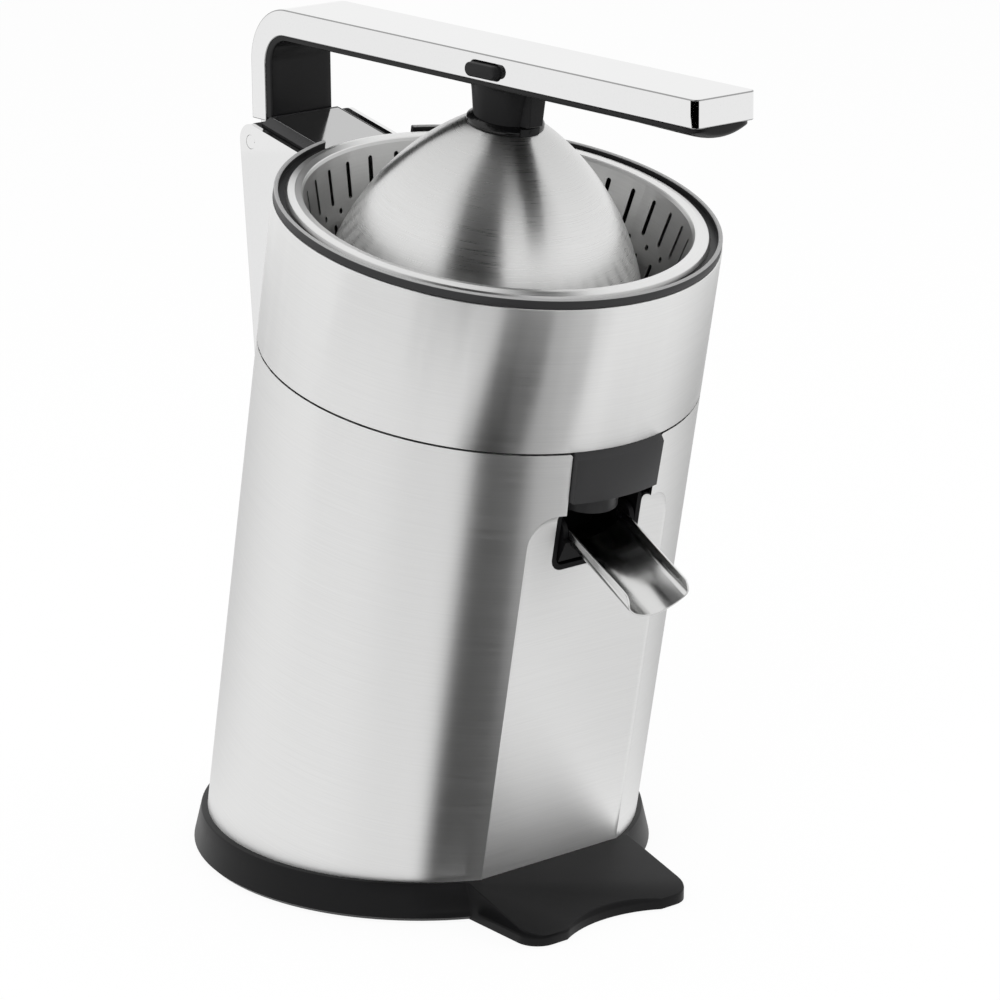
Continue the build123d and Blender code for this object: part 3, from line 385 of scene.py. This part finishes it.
plasticFinishes = {
    "base_plastic": {
        "grain": 2400.0, "cloud": 30.0, "dark": (0.004, 0.004, 0.0044), "light": (0.0065, 0.0065, 0.0069),
        "rough": (0.36, 0.44), "bump": 0.06, "specular": 0.15,
    },
    "recess_plastic": {
        "grain": 2400.0, "cloud": 30.0, "dark": (0.004, 0.004, 0.0045), "light": (0.007, 0.007, 0.0075),
        "rough": (0.42, 0.52), "bump": 0.06, "specular": 0.08,
    },
    "bowl_plastic": {
        "grain": 2400.0, "cloud": 30.0, "dark": (0.024, 0.024, 0.025), "light": (0.032, 0.032, 0.033),
        "rough": (0.34, 0.42), "bump": 0.04, "specular": 0.22,
        # painted highlight: a light band along the ring's top face
        "rim": {"low": 0.28040, "high": 0.28060, "tint": (0.34, 0.34, 0.34)},
        # painted shade: a darker band in the groove inside the ring, below its top
        "paintedGrooveShade": {"low": 0.27650, "high": 0.27750, "within": 0.08615, "tint": (0.012, 0.012, 0.0125)},
    },
    "lever_plastic": {
        "grain": 2400.0, "cloud": 30.0, "dark": (0.012, 0.012, 0.0125), "light": (0.018, 0.018, 0.0185),
        "rough": (0.36, 0.44), "bump": 0.05, "specular": 0.12,
    },
    "linerSatin": {
        "grain": 2400.0, "cloud": 30.0, "dark": (0.005, 0.005, 0.0053), "light": (0.008, 0.008, 0.0084),
        "rough": (0.26, 0.34), "bump": 0.03, "specular": 0.2,
    },
    "hingeRail": {
        "grain": 2400.0, "cloud": 30.0, "dark": (0.026, 0.026, 0.027), "light": (0.034, 0.034, 0.035),
        "rough": (0.24, 0.32), "bump": 0.02, "specular": 0.3,
    },
    "collarGloss": {
        "grain": 2400.0, "cloud": 30.0, "dark": (0.003, 0.003, 0.0032), "light": (0.005, 0.005, 0.0052),
        "rough": (0.16, 0.22), "bump": 0.01, "specular": 0.4,
    },
    "cone_plastic": {
        "grain": 1800.0, "cloud": 25.0, "dark": (0.040, 0.040, 0.042), "light": (0.055, 0.055, 0.057),
        "rough": (0.22, 0.3), "bump": 0.03, "specular": 0.5,
    },
    "rubber": {
        "grain": 1600.0, "cloud": 40.0, "dark": (0.012, 0.012, 0.012), "light": (0.022, 0.022, 0.022),
        "rough": (0.7, 0.85), "bump": 0.2, "specular": 0.2,
    },
    "gear_plastic": {
        "grain": 1600.0, "cloud": 40.0, "dark": (0.72, 0.71, 0.66), "light": (0.82, 0.81, 0.77),
        "rough": (0.4, 0.5), "bump": 0.05, "specular": 0.4,
    },
}

finishes = {}
for label, spec in steelFinishes.items():
    finishes[label] = brushedSteel(label, spec)
for label, spec in polishFinishes.items():
    finishes[label] = polishedMetal(label, spec)
for label, spec in plasticFinishes.items():
    finishes[label] = mouldedPlastic(label, spec)

# Nodes whose finish differs from the rest of their slot
ownFinish = {
    "hinge_cover": "hingePlate",
    "hinge_frame": "hingeRail",
    "spout_chute": "chuteSteel",
    "dome_collar": "collarGloss",
}
slotOf = {part["node"]: part["material_slot"] for part in frame["record"]["subparts"]}
for name, obj in nodes.items():
    obj.data.materials.clear()
    obj.data.materials.append(finishes[ownFinish.get(name, slotOf[name])])
print("finishes set:", len(finishes))


# Rounded edges on the nodes that keep their own form: the lever's rounded edges get a darker finish,
# painted shade for the grey lines along its edges
# flat: faces that meet below this angle are joined first, mirror: even normals for a polished face
edgeRule = {"flat": 0.4, "sharp": 32, "segments": 3}
roundEdges = {
    "lever_arm": {"width": 0.00045, "edge": "paintedEdgeShade", "mirror": True},
    "hinge_cover": {"width": 0.0003, "mirror": True},
    "bowl_band": {"width": 0.0003},
    "juice_bowl": {"width": 0.00012},
    "dome_collar": {"width": 0.0003},
    "press_dome": {"width": 0.0002},
    "cord_gland": {"width": 0.0004},
    "lever_pin": {"width": 0.0003},
    "foot_ring": {"width": 0.0004},
    "spout_chute": {"width": 0.00012, "flat": 2.0},
}


def roundNode(name, spec):
    obj = nodes[name]
    join = obj.modifiers.new("joinFaces", "WELD")
    join.merge_threshold = mergeGap
    flat = obj.modifiers.new("joinFlat", "DECIMATE")
    flat.decimate_type = "DISSOLVE"
    flat.angle_limit = math.radians(spec.get("flat", edgeRule["flat"]))
    soft = obj.modifiers.new("roundEdge", "BEVEL")
    soft.width = spec["width"]
    soft.segments = edgeRule["segments"]
    soft.limit_method = "ANGLE"
    soft.angle_limit = math.radians(edgeRule["sharp"])
    soft.harden_normals = "mirror" not in spec
    soft.use_clamp_overlap = False
    # the bevel's new faces take the painted edge shade
    if "edge" in spec:
        obj.data.materials.append(finishes[spec["edge"]])
        soft.material = 1
    if "mirror" in spec:
        even = obj.modifiers.new("evenNormals", "WEIGHTED_NORMAL")
        even.keep_sharp = True


for label, spec in roundEdges.items():
    roundNode(label, spec)
print("edges rounded:", len(roundEdges))


# Helpers for the pieces made here
def meshObject(name, bm, material):
    mesh = bpy.data.meshes.new(name)
    bm.to_mesh(mesh)
    bm.free()
    mesh.materials.append(material)
    obj = bpy.data.objects.new(name, mesh)
    scene.collection.objects.link(obj)
    return obj


def smoothByAngle(bm, limit):
    for face in bm.faces:
        face.smooth = True
    for edge in bm.edges:
        edge.smooth = edge.is_manifold and edge.calc_face_angle(0) < math.radians(limit)


def openEdges(bm):
    return sum(not edge.is_manifold for edge in bm.edges)


def ofKind(geom, kind):
    return [part for part in geom if isinstance(part, kind)]


def pushFace(bm, face, move):
    geom = bmesh.ops.extrude_face_region(bm, geom=[face, *face.edges, *face.verts])["geom"]
    bmesh.ops.translate(bm, vec=move, verts=ofKind(geom, bmesh.types.BMVert))
    return ofKind(geom, bmesh.types.BMFace)[0]


# Base: the node's own form with its outer edges rounded, apart from those at the cord's way out
skirt = {
    "node": "base_tray", "body": "housing", "slot": "base_plastic",
    "width": 0.0005, "sharp": 25, "smooth": 34,
    "centre": (0, -0.0027), "outside": 0.0895, "noseY": -0.083, "above": 0.003,
    "cordY": 0.080, "cordHalf": 0.012,
}


def onSkirt(edge):
    p = (edge.verts[0].co + edge.verts[1].co) / 2
    outside = (p.xy - Vector(skirt["centre"])).length > skirt["outside"] or p.y < skirt["noseY"]
    atCord = p.y > skirt["cordY"] and abs(p.x) < skirt["cordHalf"]
    return outside and p.z > skirt["above"] and not atCord


def makeSkirt(name):
    bm = bmesh.new()
    bm.from_mesh(nodes[skirt["node"]].data)
    bmesh.ops.remove_doubles(bm, verts=bm.verts[:], dist=mergeGap)
    flat = math.radians(edgeRule["flat"])
    bmesh.ops.dissolve_limit(bm, angle_limit=flat, verts=bm.verts[:], edges=bm.edges[:])
    sharp = math.radians(skirt["sharp"])
    picked = [e for e in bm.edges if e.is_manifold and e.calc_face_angle(0) > sharp and onSkirt(e)]
    bmesh.ops.bevel(
        bm, geom=picked, offset=skirt["width"], offset_type="OFFSET", segments=edgeRule["segments"],
        profile=0.5, affect="EDGES", clamp_overlap=False, material=-1,
    )
    smoothByAngle(bm, skirt["smooth"])
    print(name, "edges rounded:", len(picked))
    piece = meshObject(name, bm, finishes[skirt["slot"]])
    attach(piece, skirt["body"])
    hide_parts(skirt["node"])


makeSkirt("baseSkirt")


# Lever liner: one section drawn up the rear leg, round the bend and along the arm
liner = {
    "halfRear": 0.0153, "halfFront": 0.0145, "length": 0.2699,
    "legOuter": 0.00975, "legInner": 0.0132, "legEnd": 0.0458,
    "armTop": 0.01095, "armLow": 0.0128, "crown": 0.0022, "crownMiddle": 0.034, "crownStart": 0.048,
    "bendAlong": 0.0230, "bendDown": 0.0232, "bendSteps": 10,
    "swell": 0.0014, "swellFrom": 0.218, "swellTo": 0.260, "swellSteps": 6,
    "corner": 0.0009, "cornerSteps": 4, "innerCuts": 11,
    "nose": 0.0070, "noseSteps": 8, "noseThins": 0.55,
    "screwShares": (0.222, 0.388, 0.832), "screwArm": 0.2703,
    "wellRadius": 0.0031, "wellDeep": 0.0022, "wellSides": 32, "smooth": 40,
}


def linerSection(bm):
    half, outer, inner = liner["halfRear"], liner["legOuter"], liner["legInner"]
    corners = [(-half, outer), (half, outer), (half, inner), (-half, inner)]
    verts = [bm.verts.new((x, -y, -liner["legEnd"])) for x, y in corners]
    bm.faces.new(verts)
    bmesh.ops.bevel(
        bm, geom=verts[2:], offset=liner["corner"], offset_type="OFFSET", segments=liner["cornerSteps"],
        profile=0.5, affect="VERTICES", clamp_overlap=True, material=-1,
    )
    inside = [e for e in bm.edges if all(abs(v.co.y + inner) < tiny for v in e.verts)]
    bmesh.ops.subdivide_edges(bm, edges=inside, cuts=liner["innerCuts"])
    return bm.faces[:][0]


def thinBend(bm):
    # the leg is thicker than the arm, so the wall thins round the bend
    outer = liner["bendAlong"] - liner["legOuter"]
    wall = liner["legInner"] - liner["legOuter"]
    newOuter = liner["bendDown"] - liner["armTop"]
    newWall = liner["armLow"] - liner["armTop"]
    for vert in bm.verts:
        along, up = vert.co.y + liner["bendAlong"], vert.co.z + liner["bendDown"]
        if up < tiny:
            continue
        turn = math.atan2(up, along) / (math.pi / 2)
        radius = math.hypot(along, up)
        inward = (outer - radius) / wall
        wanted = radius + turn * (newOuter - inward * newWall - radius)
        vert.co.y = along * wanted / radius - liner["bendAlong"]
        vert.co.z = up * wanted / radius - liner["bendDown"]


def between(value, low, high):
    return min(max((value - low) / (high - low), 0.0), 1.0)


def crownArm(bm):
    # the underside is crowned across, and swells towards the front end
    wall = liner["armLow"] - liner["armTop"]
    for vert in bm.verts:
        along = -vert.co.y
        if along < liner["bendAlong"] + tiny:
            continue
        rise = between(along, liner["bendAlong"], liner["crownStart"])
        swell = between(along, liner["swellFrom"], liner["swellTo"])
        depth = liner["crown"] * rise + liner["swell"] * swell * swell * (3 - 2 * swell)
        inward = (-liner["armTop"] - vert.co.z) / wall
        vert.co.z -= depth * inward * (1 - (vert.co.x / liner["halfRear"]) ** 2)


def noseSteps(bm, face):
    # the front end narrows and thins in steps that follow a quarter round
    reach = liner["nose"]
    aboutTop = Matrix.Translation((0, 0, liner["armTop"]))
    done, wide, deep = 0.0, 1.0, 1.0
    for step in range(1, liner["noseSteps"] + 1):
        angle = math.pi / 2 * step / liner["noseSteps"]
        ahead, back = reach * math.sin(angle), 1 - math.cos(angle)
        newWide = 1 - reach * back / liner["halfRear"]
        newDeep = 1 - liner["noseThins"] * back
        face = pushFace(bm, face, (0, done - ahead, 0))
        grow = (newWide / wide, 1, newDeep / deep)
        bmesh.ops.scale(bm, vec=grow, space=aboutTop, verts=face.verts[:])
        done, wide, deep = ahead, newWide, newDeep


def cutWells(piece):
    # wells for the liner's screws
    bm = bmesh.new()
    radius, deep = liner["wellRadius"], liner["wellDeep"]
    for share in liner["screwShares"]:
        spot = Matrix.Translation((0, -share * liner["screwArm"], -liner["armLow"] - deep))
        bmesh.ops.create_cone(
            bm, cap_ends=True, segments=liner["wellSides"], radius1=radius, radius2=radius,
            depth=2 * deep, matrix=leverFrame @ spot,
        )
    cutter = meshObject("wellCutter", bm, finishes["linerSatin"])
    cut = piece.modifiers.new("wells", "BOOLEAN")
    cut.operation = "DIFFERENCE"
    cut.solver = "EXACT"
    cut.object = cutter
    bpy.context.view_layer.update()
    mesh = bpy.data.meshes.new_from_object(piece.evaluated_get(bpy.context.evaluated_depsgraph_get()))
    piece.modifiers.clear()
    piece.data = mesh
    bpy.data.objects.remove(cutter)


def makeLiner():
    bm = bmesh.new()
    face = linerSection(bm)
    face = pushFace(bm, face, (0, 0, liner["legEnd"] - liner["bendDown"]))
    turned = bmesh.ops.spin(
        bm, geom=[face, *face.edges, *face.verts], cent=(0, -liner["bendAlong"], -liner["bendDown"]),
        axis=(1, 0, 0), angle=math.pi / 2, steps=liner["bendSteps"],
    )["geom_last"]
    face = ofKind(turned, bmesh.types.BMFace)[0]
    thinBend(bm)
    step = (liner["swellTo"] - liner["swellFrom"]) / liner["swellSteps"]
    swells = [liner["swellFrom"] + step * i for i in range(liner["swellSteps"] + 1)]
    stops = [
        liner["bendAlong"], liner["crownMiddle"], liner["crownStart"], *swells,
        liner["length"] - liner["nose"],
    ]
    for before, after in zip(stops, stops[1:]):
        face = pushFace(bm, face, (0, before - after, 0))
    crownArm(bm)
    noseSteps(bm, face)
    bmesh.ops.remove_doubles(bm, verts=bm.verts[:], dist=tiny)
    taper = liner["halfFront"] / liner["halfRear"] - 1
    for vert in bm.verts:
        vert.co.x *= 1 + taper * -vert.co.y / liner["length"]
    bmesh.ops.transform(bm, matrix=leverFrame, verts=bm.verts[:])
    bmesh.ops.recalc_face_normals(bm, faces=bm.faces[:])
    smoothByAngle(bm, liner["smooth"])
    print("liner: open edges", openEdges(bm))
    piece = meshObject("linerShell", bm, finishes["linerSatin"])
    cutWells(piece)
    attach(piece, "lever")
    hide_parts("lever_liner")


makeLiner()


# Holder between the lever and the dome: a tapered post with a lug and its foot in front
# rings: height and radius in the lever's frame, lug: along, height and half width
holder = {
    "along": 0.1472, "widest": 0.01485, "sides": 64,
    "rings": (
        (-0.0120, 0.0172), (-0.0131, 0.0172), (-0.0135, 0.0160), (-0.0142, 0.0153), (-0.0155, 0.0150),
    ),
    "lowRadius": 0.0129, "lowHeight": 0.3188, "domeY": 0.0029,
    "lugTop": (0.1649, -0.0122, 0.0042), "lugLow": (0.1625, -0.0286, 0.0035), "lugBack": 0.1480,
    "lugRound": 0.0007, "lugSteps": 4,
    "footRadius": (0.0150, 0.0158), "footHeight": (0.3157, 0.3186), "footTurn": 34.0, "footSteps": 12,
    "pinRadius": 0.0008, "pinHeight": 0.3172, "pinDepth": 0.0004, "pinSides": 20, "smooth": 40,
}
domeFrame = bodyFrame @ Matrix.Translation((0, holder["domeY"], 0))


def postRing(bm, radius, place, wide=1.0):
    ring = bmesh.ops.create_circle(bm, segments=holder["sides"], radius=radius)["verts"]
    bmesh.ops.scale(bm, vec=(wide, 1, 1), verts=ring)
    bmesh.ops.transform(bm, matrix=place, verts=ring)
    return set(ring)


def holderPost(bm):
    rings = []
    for height, radius in holder["rings"]:
        place = leverFrame @ Matrix.Translation((0, -holder["along"], height))
        rings.append(postRing(bm, radius, place, min(1.0, holder["widest"] / radius)))
    low = domeFrame @ Matrix.Translation((0, 0, holder["lowHeight"]))
    rings.append(postRing(bm, holder["lowRadius"], low))
    edgeSets = [[e for e in bm.edges if ring.issuperset(e.verts)] for ring in rings]
    for upper, lower in zip(edgeSets, edgeSets[1:]):
        bmesh.ops.bridge_loops(bm, edges=upper + lower)
    bmesh.ops.holes_fill(bm, edges=bm.edges[:], sides=0)


def holderLug(bm):
    cube = bmesh.ops.create_cube(bm, size=1.0)["verts"]
    for vert in cube:
        front, height, half = holder["lugTop"] if vert.co.z > 0 else holder["lugLow"]
        along = front if vert.co.y < 0 else holder["lugBack"]
        vert.co = Vector((math.copysign(half, vert.co.x), -along, height))
    edges = {e for v in cube for e in v.link_edges}
    ahead = [e for e in edges if all(-v.co.y > holder["lugBack"] + tiny for v in e.verts)]
    rounded = bmesh.ops.bevel(
        bm, geom=ahead, offset=holder["lugRound"], offset_type="OFFSET", segments=holder["lugSteps"],
        profile=0.5, affect="EDGES", clamp_overlap=True, material=-1,
    )["verts"]
    verts = list({v for v in cube if v.is_valid} | set(rounded))
    bmesh.ops.transform(bm, matrix=leverFrame, verts=verts)


def holderFoot(bm):
    (inner, outer), (low, high) = holder["footRadius"], holder["footHeight"]
    start = math.radians(-holder["footTurn"] / 2)
    corners = [(inner, low), (outer, low), (outer, high), (inner, high)]
    verts = [bm.verts.new((r * math.sin(start), -r * math.cos(start), s)) for r, s in corners]
    face = bm.faces.new(verts)
    bmesh.ops.spin(
        bm, geom=[face, *face.edges, *face.verts], cent=(0, 0, 0), axis=(0, 0, 1),
        angle=-2 * start, steps=holder["footSteps"],
    )
    pin = Matrix.Translation((0, -outer, holder["pinHeight"])) @ Matrix.Rotation(math.pi / 2, 4, "X")
    bmesh.ops.create_cone(
        bm, cap_ends=True, segments=holder["pinSides"], radius1=holder["pinRadius"],
        radius2=holder["pinRadius"], depth=holder["pinDepth"], matrix=pin,
    )
    bmesh.ops.transform(bm, matrix=domeFrame, verts=bm.verts[:])


def makeHolder():
    made = bmesh.new()
    holderPost(made)
    holderLug(made)
    foot = bmesh.new()
    holderFoot(foot)
    joined = bpy.data.meshes.new("holderFoot")
    foot.to_mesh(joined)
    foot.free()
    made.from_mesh(joined)
    bmesh.ops.recalc_face_normals(made, faces=made.faces[:])
    smoothByAngle(made, holder["smooth"])
    print("holder: open edges", openEdges(made))
    piece = meshObject("holderPost", made, finishes["lever_plastic"])
    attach(piece, "lever")
    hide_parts("dome_holder")


makeHolder()
print("liner and holder made")


# Release buttons: a rounded bar that stands out of the lever's side, on a flat key inside
button = {
    "length": 0.0180, "height": 0.0055, "along": 0.1508, "down": 0.0062,
    "inner": 0.0114, "outer": 0.01845, "sides": 32, "round": 0.0008, "roundSteps": 5,
    "keyLength": 0.0216, "keyHeight": 0.0052, "keyInner": 0.01145, "keyOuter": 0.01255, "smooth": 34,
}
buttons = {
    "leftRelease": {"side": -1, "body": "left_release", "node": "left_button"},
    "rightRelease": {"side": 1, "body": "right_release", "node": "right_button"},
}


def sideFrame(side, out):
    # Z points out of the lever's side, from this far out of its middle
    spot = (side * out, -button["along"], -button["down"])
    return leverFrame @ Matrix.Translation(spot) @ Matrix.Rotation(math.radians(90 * side), 4, "Y")


def makeButton(name, spec):
    bm = bmesh.new()
    bmesh.ops.create_circle(bm, cap_ends=True, segments=button["sides"], radius=button["height"] / 2)
    stretch = (button["length"] - button["height"]) / 2
    for vert in bm.verts:
        vert.co.y += math.copysign(stretch, vert.co.y)
    tip = bmesh.ops.extrude_face_region(bm, geom=bm.faces[:])["geom"]
    reach = button["outer"] - button["inner"]
    bmesh.ops.translate(bm, vec=(0, 0, reach), verts=ofKind(tip, bmesh.types.BMVert))
    bmesh.ops.bevel(
        bm, geom=ofKind(tip, bmesh.types.BMEdge), offset=button["round"], offset_type="OFFSET",
        segments=button["roundSteps"], profile=0.5, affect="EDGES", clamp_overlap=True, material=-1,
    )
    bmesh.ops.translate(bm, vec=(0, 0, button["inner"]), verts=bm.verts[:])
    key = bmesh.ops.create_cube(bm, size=1.0)["verts"]
    deep = button["keyOuter"] - button["keyInner"]
    bmesh.ops.scale(bm, vec=(button["keyHeight"], button["keyLength"], deep), verts=key)
    bmesh.ops.translate(bm, vec=(0, 0, button["keyInner"] + deep / 2), verts=key)
    bmesh.ops.transform(bm, matrix=sideFrame(spec["side"], 0), verts=bm.verts[:])
    bmesh.ops.recalc_face_normals(bm, faces=bm.faces[:])
    smoothByAngle(bm, button["smooth"])
    piece = meshObject(name, bm, finishes["lever_plastic"])
    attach(piece, spec["body"])
    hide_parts(spec["node"])


for label, spec in buttons.items():
    makeButton(label, spec)
print("buttons made:", len(buttons))


# Springs: coils made at rest, standing on a fixed end
coil = {"turnSteps": 28, "sides": 10, "smooth": 60}
buttonSpring = {
    "body": "lever", "fixedEnd": 0.0050, "radius": 0.0026, "wire": 0.0006, "length": 0.0064,
    "turns": 5, "travel": 0.002,
}
springs = {
    "leftSpring": {
        **buttonSpring, "node": "left_button_spring", "joint": "left_release_slide", "side": -1,
    },
    "rightSpring": {
        **buttonSpring, "node": "right_button_spring", "joint": "right_release_slide", "side": 1,
    },
    "returnSpring": {
        "body": "housing", "fixedEnd": 0.1506, "radius": 0.0070, "wire": 0.0012, "length": 0.0144,
        "turns": 6, "travel": 0.002, "node": "return_spring", "joint": "press_travel",
    },
}


def springFrame(spec):
    # Z runs from the fixed end to the free end
    if "side" in spec:
        return sideFrame(spec["side"], spec["fixedEnd"])
    return bodyFrame @ Matrix.Translation((0, 0, spec["fixedEnd"]))


def makeSpring(name, spec):
    half = spec["wire"] / 2
    steps = spec["turns"] * coil["turnSteps"]
    rise = (spec["length"] - spec["wire"]) / steps
    bm = bmesh.new()
    ring = bmesh.ops.create_circle(bm, cap_ends=True, segments=coil["sides"], radius=half)["verts"]
    bmesh.ops.rotate(bm, cent=(0, 0, 0), matrix=Matrix.Rotation(math.pi / 2, 3, "X"), verts=ring)
    bmesh.ops.translate(bm, vec=(spec["radius"] - half, 0, half), verts=ring)
    bmesh.ops.spin(
        bm, geom=[*bm.verts, *bm.edges, *bm.faces], cent=(0, 0, 0), axis=(0, 0, 1), dvec=(0, 0, rise),
        angle=2 * math.pi * spec["turns"], steps=steps,
    )
    place = springFrame(spec)
    bmesh.ops.transform(bm, matrix=place, verts=bm.verts[:])
    bmesh.ops.recalc_face_normals(bm, faces=bm.faces[:])
    smoothByAngle(bm, coil["smooth"])
    print(name, "open edges", openEdges(bm))
    piece = meshObject(name, bm, finishes["bright_steel"])
    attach(piece, spec["body"])
    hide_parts(spec["node"])
    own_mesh(piece)


for label, spec in springs.items():
    makeSpring(label, spec)
print("springs made:", len(springs))


# Pale room, floor, cards and lamps
studio = {
    "floorHalf": 12.0,
    "floorColour": (0.95, 0.95, 0.95, 1),
    "floorGlow": 0.93,
    "white": (1, 1, 1, 1),
    "fill": 0.62,
    "lampTarget": (0, 0, 0.15),
    "cardSteps": 24,
}


def mixToOutput(tree, kind, share, first, second):
    mix = addNode(tree, "ShaderNodeMixShader")
    wire(tree, share, mix.inputs[0])
    wire(tree, first.outputs[0], mix.inputs[1])
    wire(tree, second.outputs[0], mix.inputs[2])
    out = addNode(tree, kind)
    wire(tree, mix.outputs[0], out.inputs[0])


def emptyMaterial(name):
    material = bpy.data.materials.new(name)
    material.use_nodes = True
    material.node_tree.nodes.clear()
    return material, material.node_tree


def makeWorld():
    world = bpy.data.worlds.new("paleRoom")
    scene.world = world
    world.use_nodes = True
    tree = world.node_tree
    tree.nodes.clear()
    path = addNode(tree, "ShaderNodeLightPath").outputs
    seen = mathNode(tree, "MAXIMUM", path["Is Camera Ray"], path["Is Glossy Ray"])
    seen = mathNode(tree, "MAXIMUM", seen, path["Is Transmission Ray"])
    shade = addNode(tree, "ShaderNodeBackground", {"Color": studio["white"], "Strength": studio["fill"]})
    white = addNode(tree, "ShaderNodeBackground", {"Color": studio["white"], "Strength": 1.0})
    mixToOutput(tree, "ShaderNodeOutputWorld", seen, shade, white)


def makeFloor():
    material, tree = emptyMaterial("paleFloor")
    path = addNode(tree, "ShaderNodeLightPath").outputs
    matt = addNode(tree, "ShaderNodeBsdfDiffuse", {"Color": studio["floorColour"]})
    glow = addNode(tree, "ShaderNodeEmission", {"Color": studio["white"], "Strength": 1.0})
    mirrored = mathNode(tree, "MAXIMUM", path["Is Glossy Ray"], path["Is Transmission Ray"])
    direct = mathNode(tree, "MULTIPLY", path["Is Camera Ray"], studio["floorGlow"])
    share = mathNode(tree, "MAXIMUM", direct, mirrored)
    mixToOutput(tree, "ShaderNodeOutputMaterial", share, matt, glow)
    bm = bmesh.new()
    bmesh.ops.create_grid(bm, x_segments=1, y_segments=1, size=studio["floorHalf"])
    floor = meshObject("floor", bm, material)


# Cards that only reflections see: they draw the soft dark bands on the steel
# turn: degrees from the front towards +X, soft: how far each end fades, path: radius and height
cards = {
    "darkBand": {
        "turn": (-41.0, -9.5), "soft": (7.0, 5.0), "path": [(0.10, 0.005), (1.28, 0.005)], "tone": 0.0,
    },
    "greyBand": {
        "turn": (-30.0, 15.0), "soft": (4.0, 10.0), "path": [(0.10, 0.004), (1.28, 0.004)], "tone": 0.46,
    },
    "facetShade": {
        "turn": (12.0, 75.0), "soft": (20.0, 30.0), "path": [(0.15, 0.003), (0.50, 0.003)], "tone": 0.82,
    },
    "frontDark": {
        "turn": (-122.0, -2.0), "soft": (3.0, 2.0), "path": [(1.45, 0.002), (2.60, 0.002)], "tone": 0.0,
    },
    "highDark": {
        "turn": (-78.0, -22.0), "soft": (16.0, 5.0), "path": [(1.50, 0.36), (1.50, 2.8)], "tone": 0.0,
    },
    "highGrey": {
        "turn": (0.0, 42.0), "soft": (8.0, 6.0), "path": [(1.50, 1.35), (1.50, 1.95)], "tone": 0.45,
    },
    "highShade": {
        "turn": (-105.0, 46.0), "soft": (45.0, 6.0), "path": [(1.49, 1.95), (1.49, 2.8)], "tone": 0.28,
    },
    "ceiling": {
        "turn": (-105.0, 48.0), "soft": (45.0, 8.0), "path": [(0.15, 2.8), (1.50, 2.8)], "tone": 0.16,
    },
    "sideShade": {
        "turn": (40.0, 232.0), "soft": (90.0, 107.0), "path": [(0.10, 0.001), (1.30, 0.001)], "tone": 0.35,
    },
}


def cardFade(tree, spec):
    # the angle is taken from the card's middle, so that it doesn't jump inside the card
    middle = math.radians(sum(spec["turn"]) / 2)
    centred = addNode(tree, "ShaderNodeMapping", {"Rotation": (0, 0, -middle)})
    wire(tree, addNode(tree, "ShaderNodeTexCoord").outputs["Object"], centred.inputs["Vector"])
    split = addNode(tree, "ShaderNodeSeparateXYZ")
    wire(tree, centred.outputs[0], split.inputs[0])
    ahead = mathNode(tree, "MULTIPLY", split.outputs[1], -1.0)
    turn = mathNode(tree, "ARCTAN2", split.outputs[0], ahead)
    start, stop = (math.radians(a) - middle for a in spec["turn"])
    first, last = (math.radians(a) for a in spec["soft"])
    rising = remap(tree, turn, (start, start + first), (0.0, 1.0), interpolation_type="SMOOTHSTEP")
    falling = remap(tree, turn, (stop - last, stop), (1.0, 0.0), interpolation_type="SMOOTHSTEP")
    return mathNode(tree, "MULTIPLY", rising, falling)


def makeCard(name, spec):
    material, tree = emptyMaterial(name)
    clear = addNode(tree, "ShaderNodeBsdfTransparent")
    glow = addNode(tree, "ShaderNodeEmission", {"Color": (spec["tone"],) * 3 + (1,), "Strength": 1.0})
    mixToOutput(tree, "ShaderNodeOutputMaterial", cardFade(tree, spec), clear, glow)
    start, stop = (math.radians(a) for a in spec["turn"])
    bm = bmesh.new()
    points = [bm.verts.new((r * math.sin(start), -r * math.cos(start), z)) for r, z in spec["path"]]
    edges = [bm.edges.new(pair) for pair in zip(points, points[1:])]
    bmesh.ops.spin(
        bm, geom=points + edges, cent=(0, 0, 0), axis=(0, 0, 1), angle=stop - start,
        steps=studio["cardSteps"],
    )
    card = meshObject(name, bm, material)
    card.visible_camera = False
    card.visible_diffuse = False
    card.visible_shadow = False
    card.visible_transmission = False


lamps = {
    "keyPanel": {"place": (-1.3, -0.9, 1.5), "size": 1.4, "power": 16.0},
    "fillPanel": {"place": (1.5, -0.8, 1.1), "size": 1.4, "power": 8.0},
    "topPanel": {"place": (0.0, 0.3, 1.9), "size": 1.6, "power": 9.0},
}


def makeLamp(name, spec):
    data = bpy.data.lights.new(name, "AREA")
    data.shape = "SQUARE"
    data.size = spec["size"]
    data.energy = spec["power"]
    obj = bpy.data.objects.new(name, data)
    look = Vector(studio["lampTarget"]) - Vector(spec["place"])
    turn = look.to_track_quat("-Z", "Y").to_matrix().to_4x4()
    obj.matrix_world = Matrix.Translation(spec["place"]) @ turn
    obj.visible_glossy = False
    scene.collection.objects.link(obj)


makeWorld()
makeFloor()
for label, spec in cards.items():
    makeCard(label, spec)
for label, spec in lamps.items():
    makeLamp(label, spec)
print("studio lit")
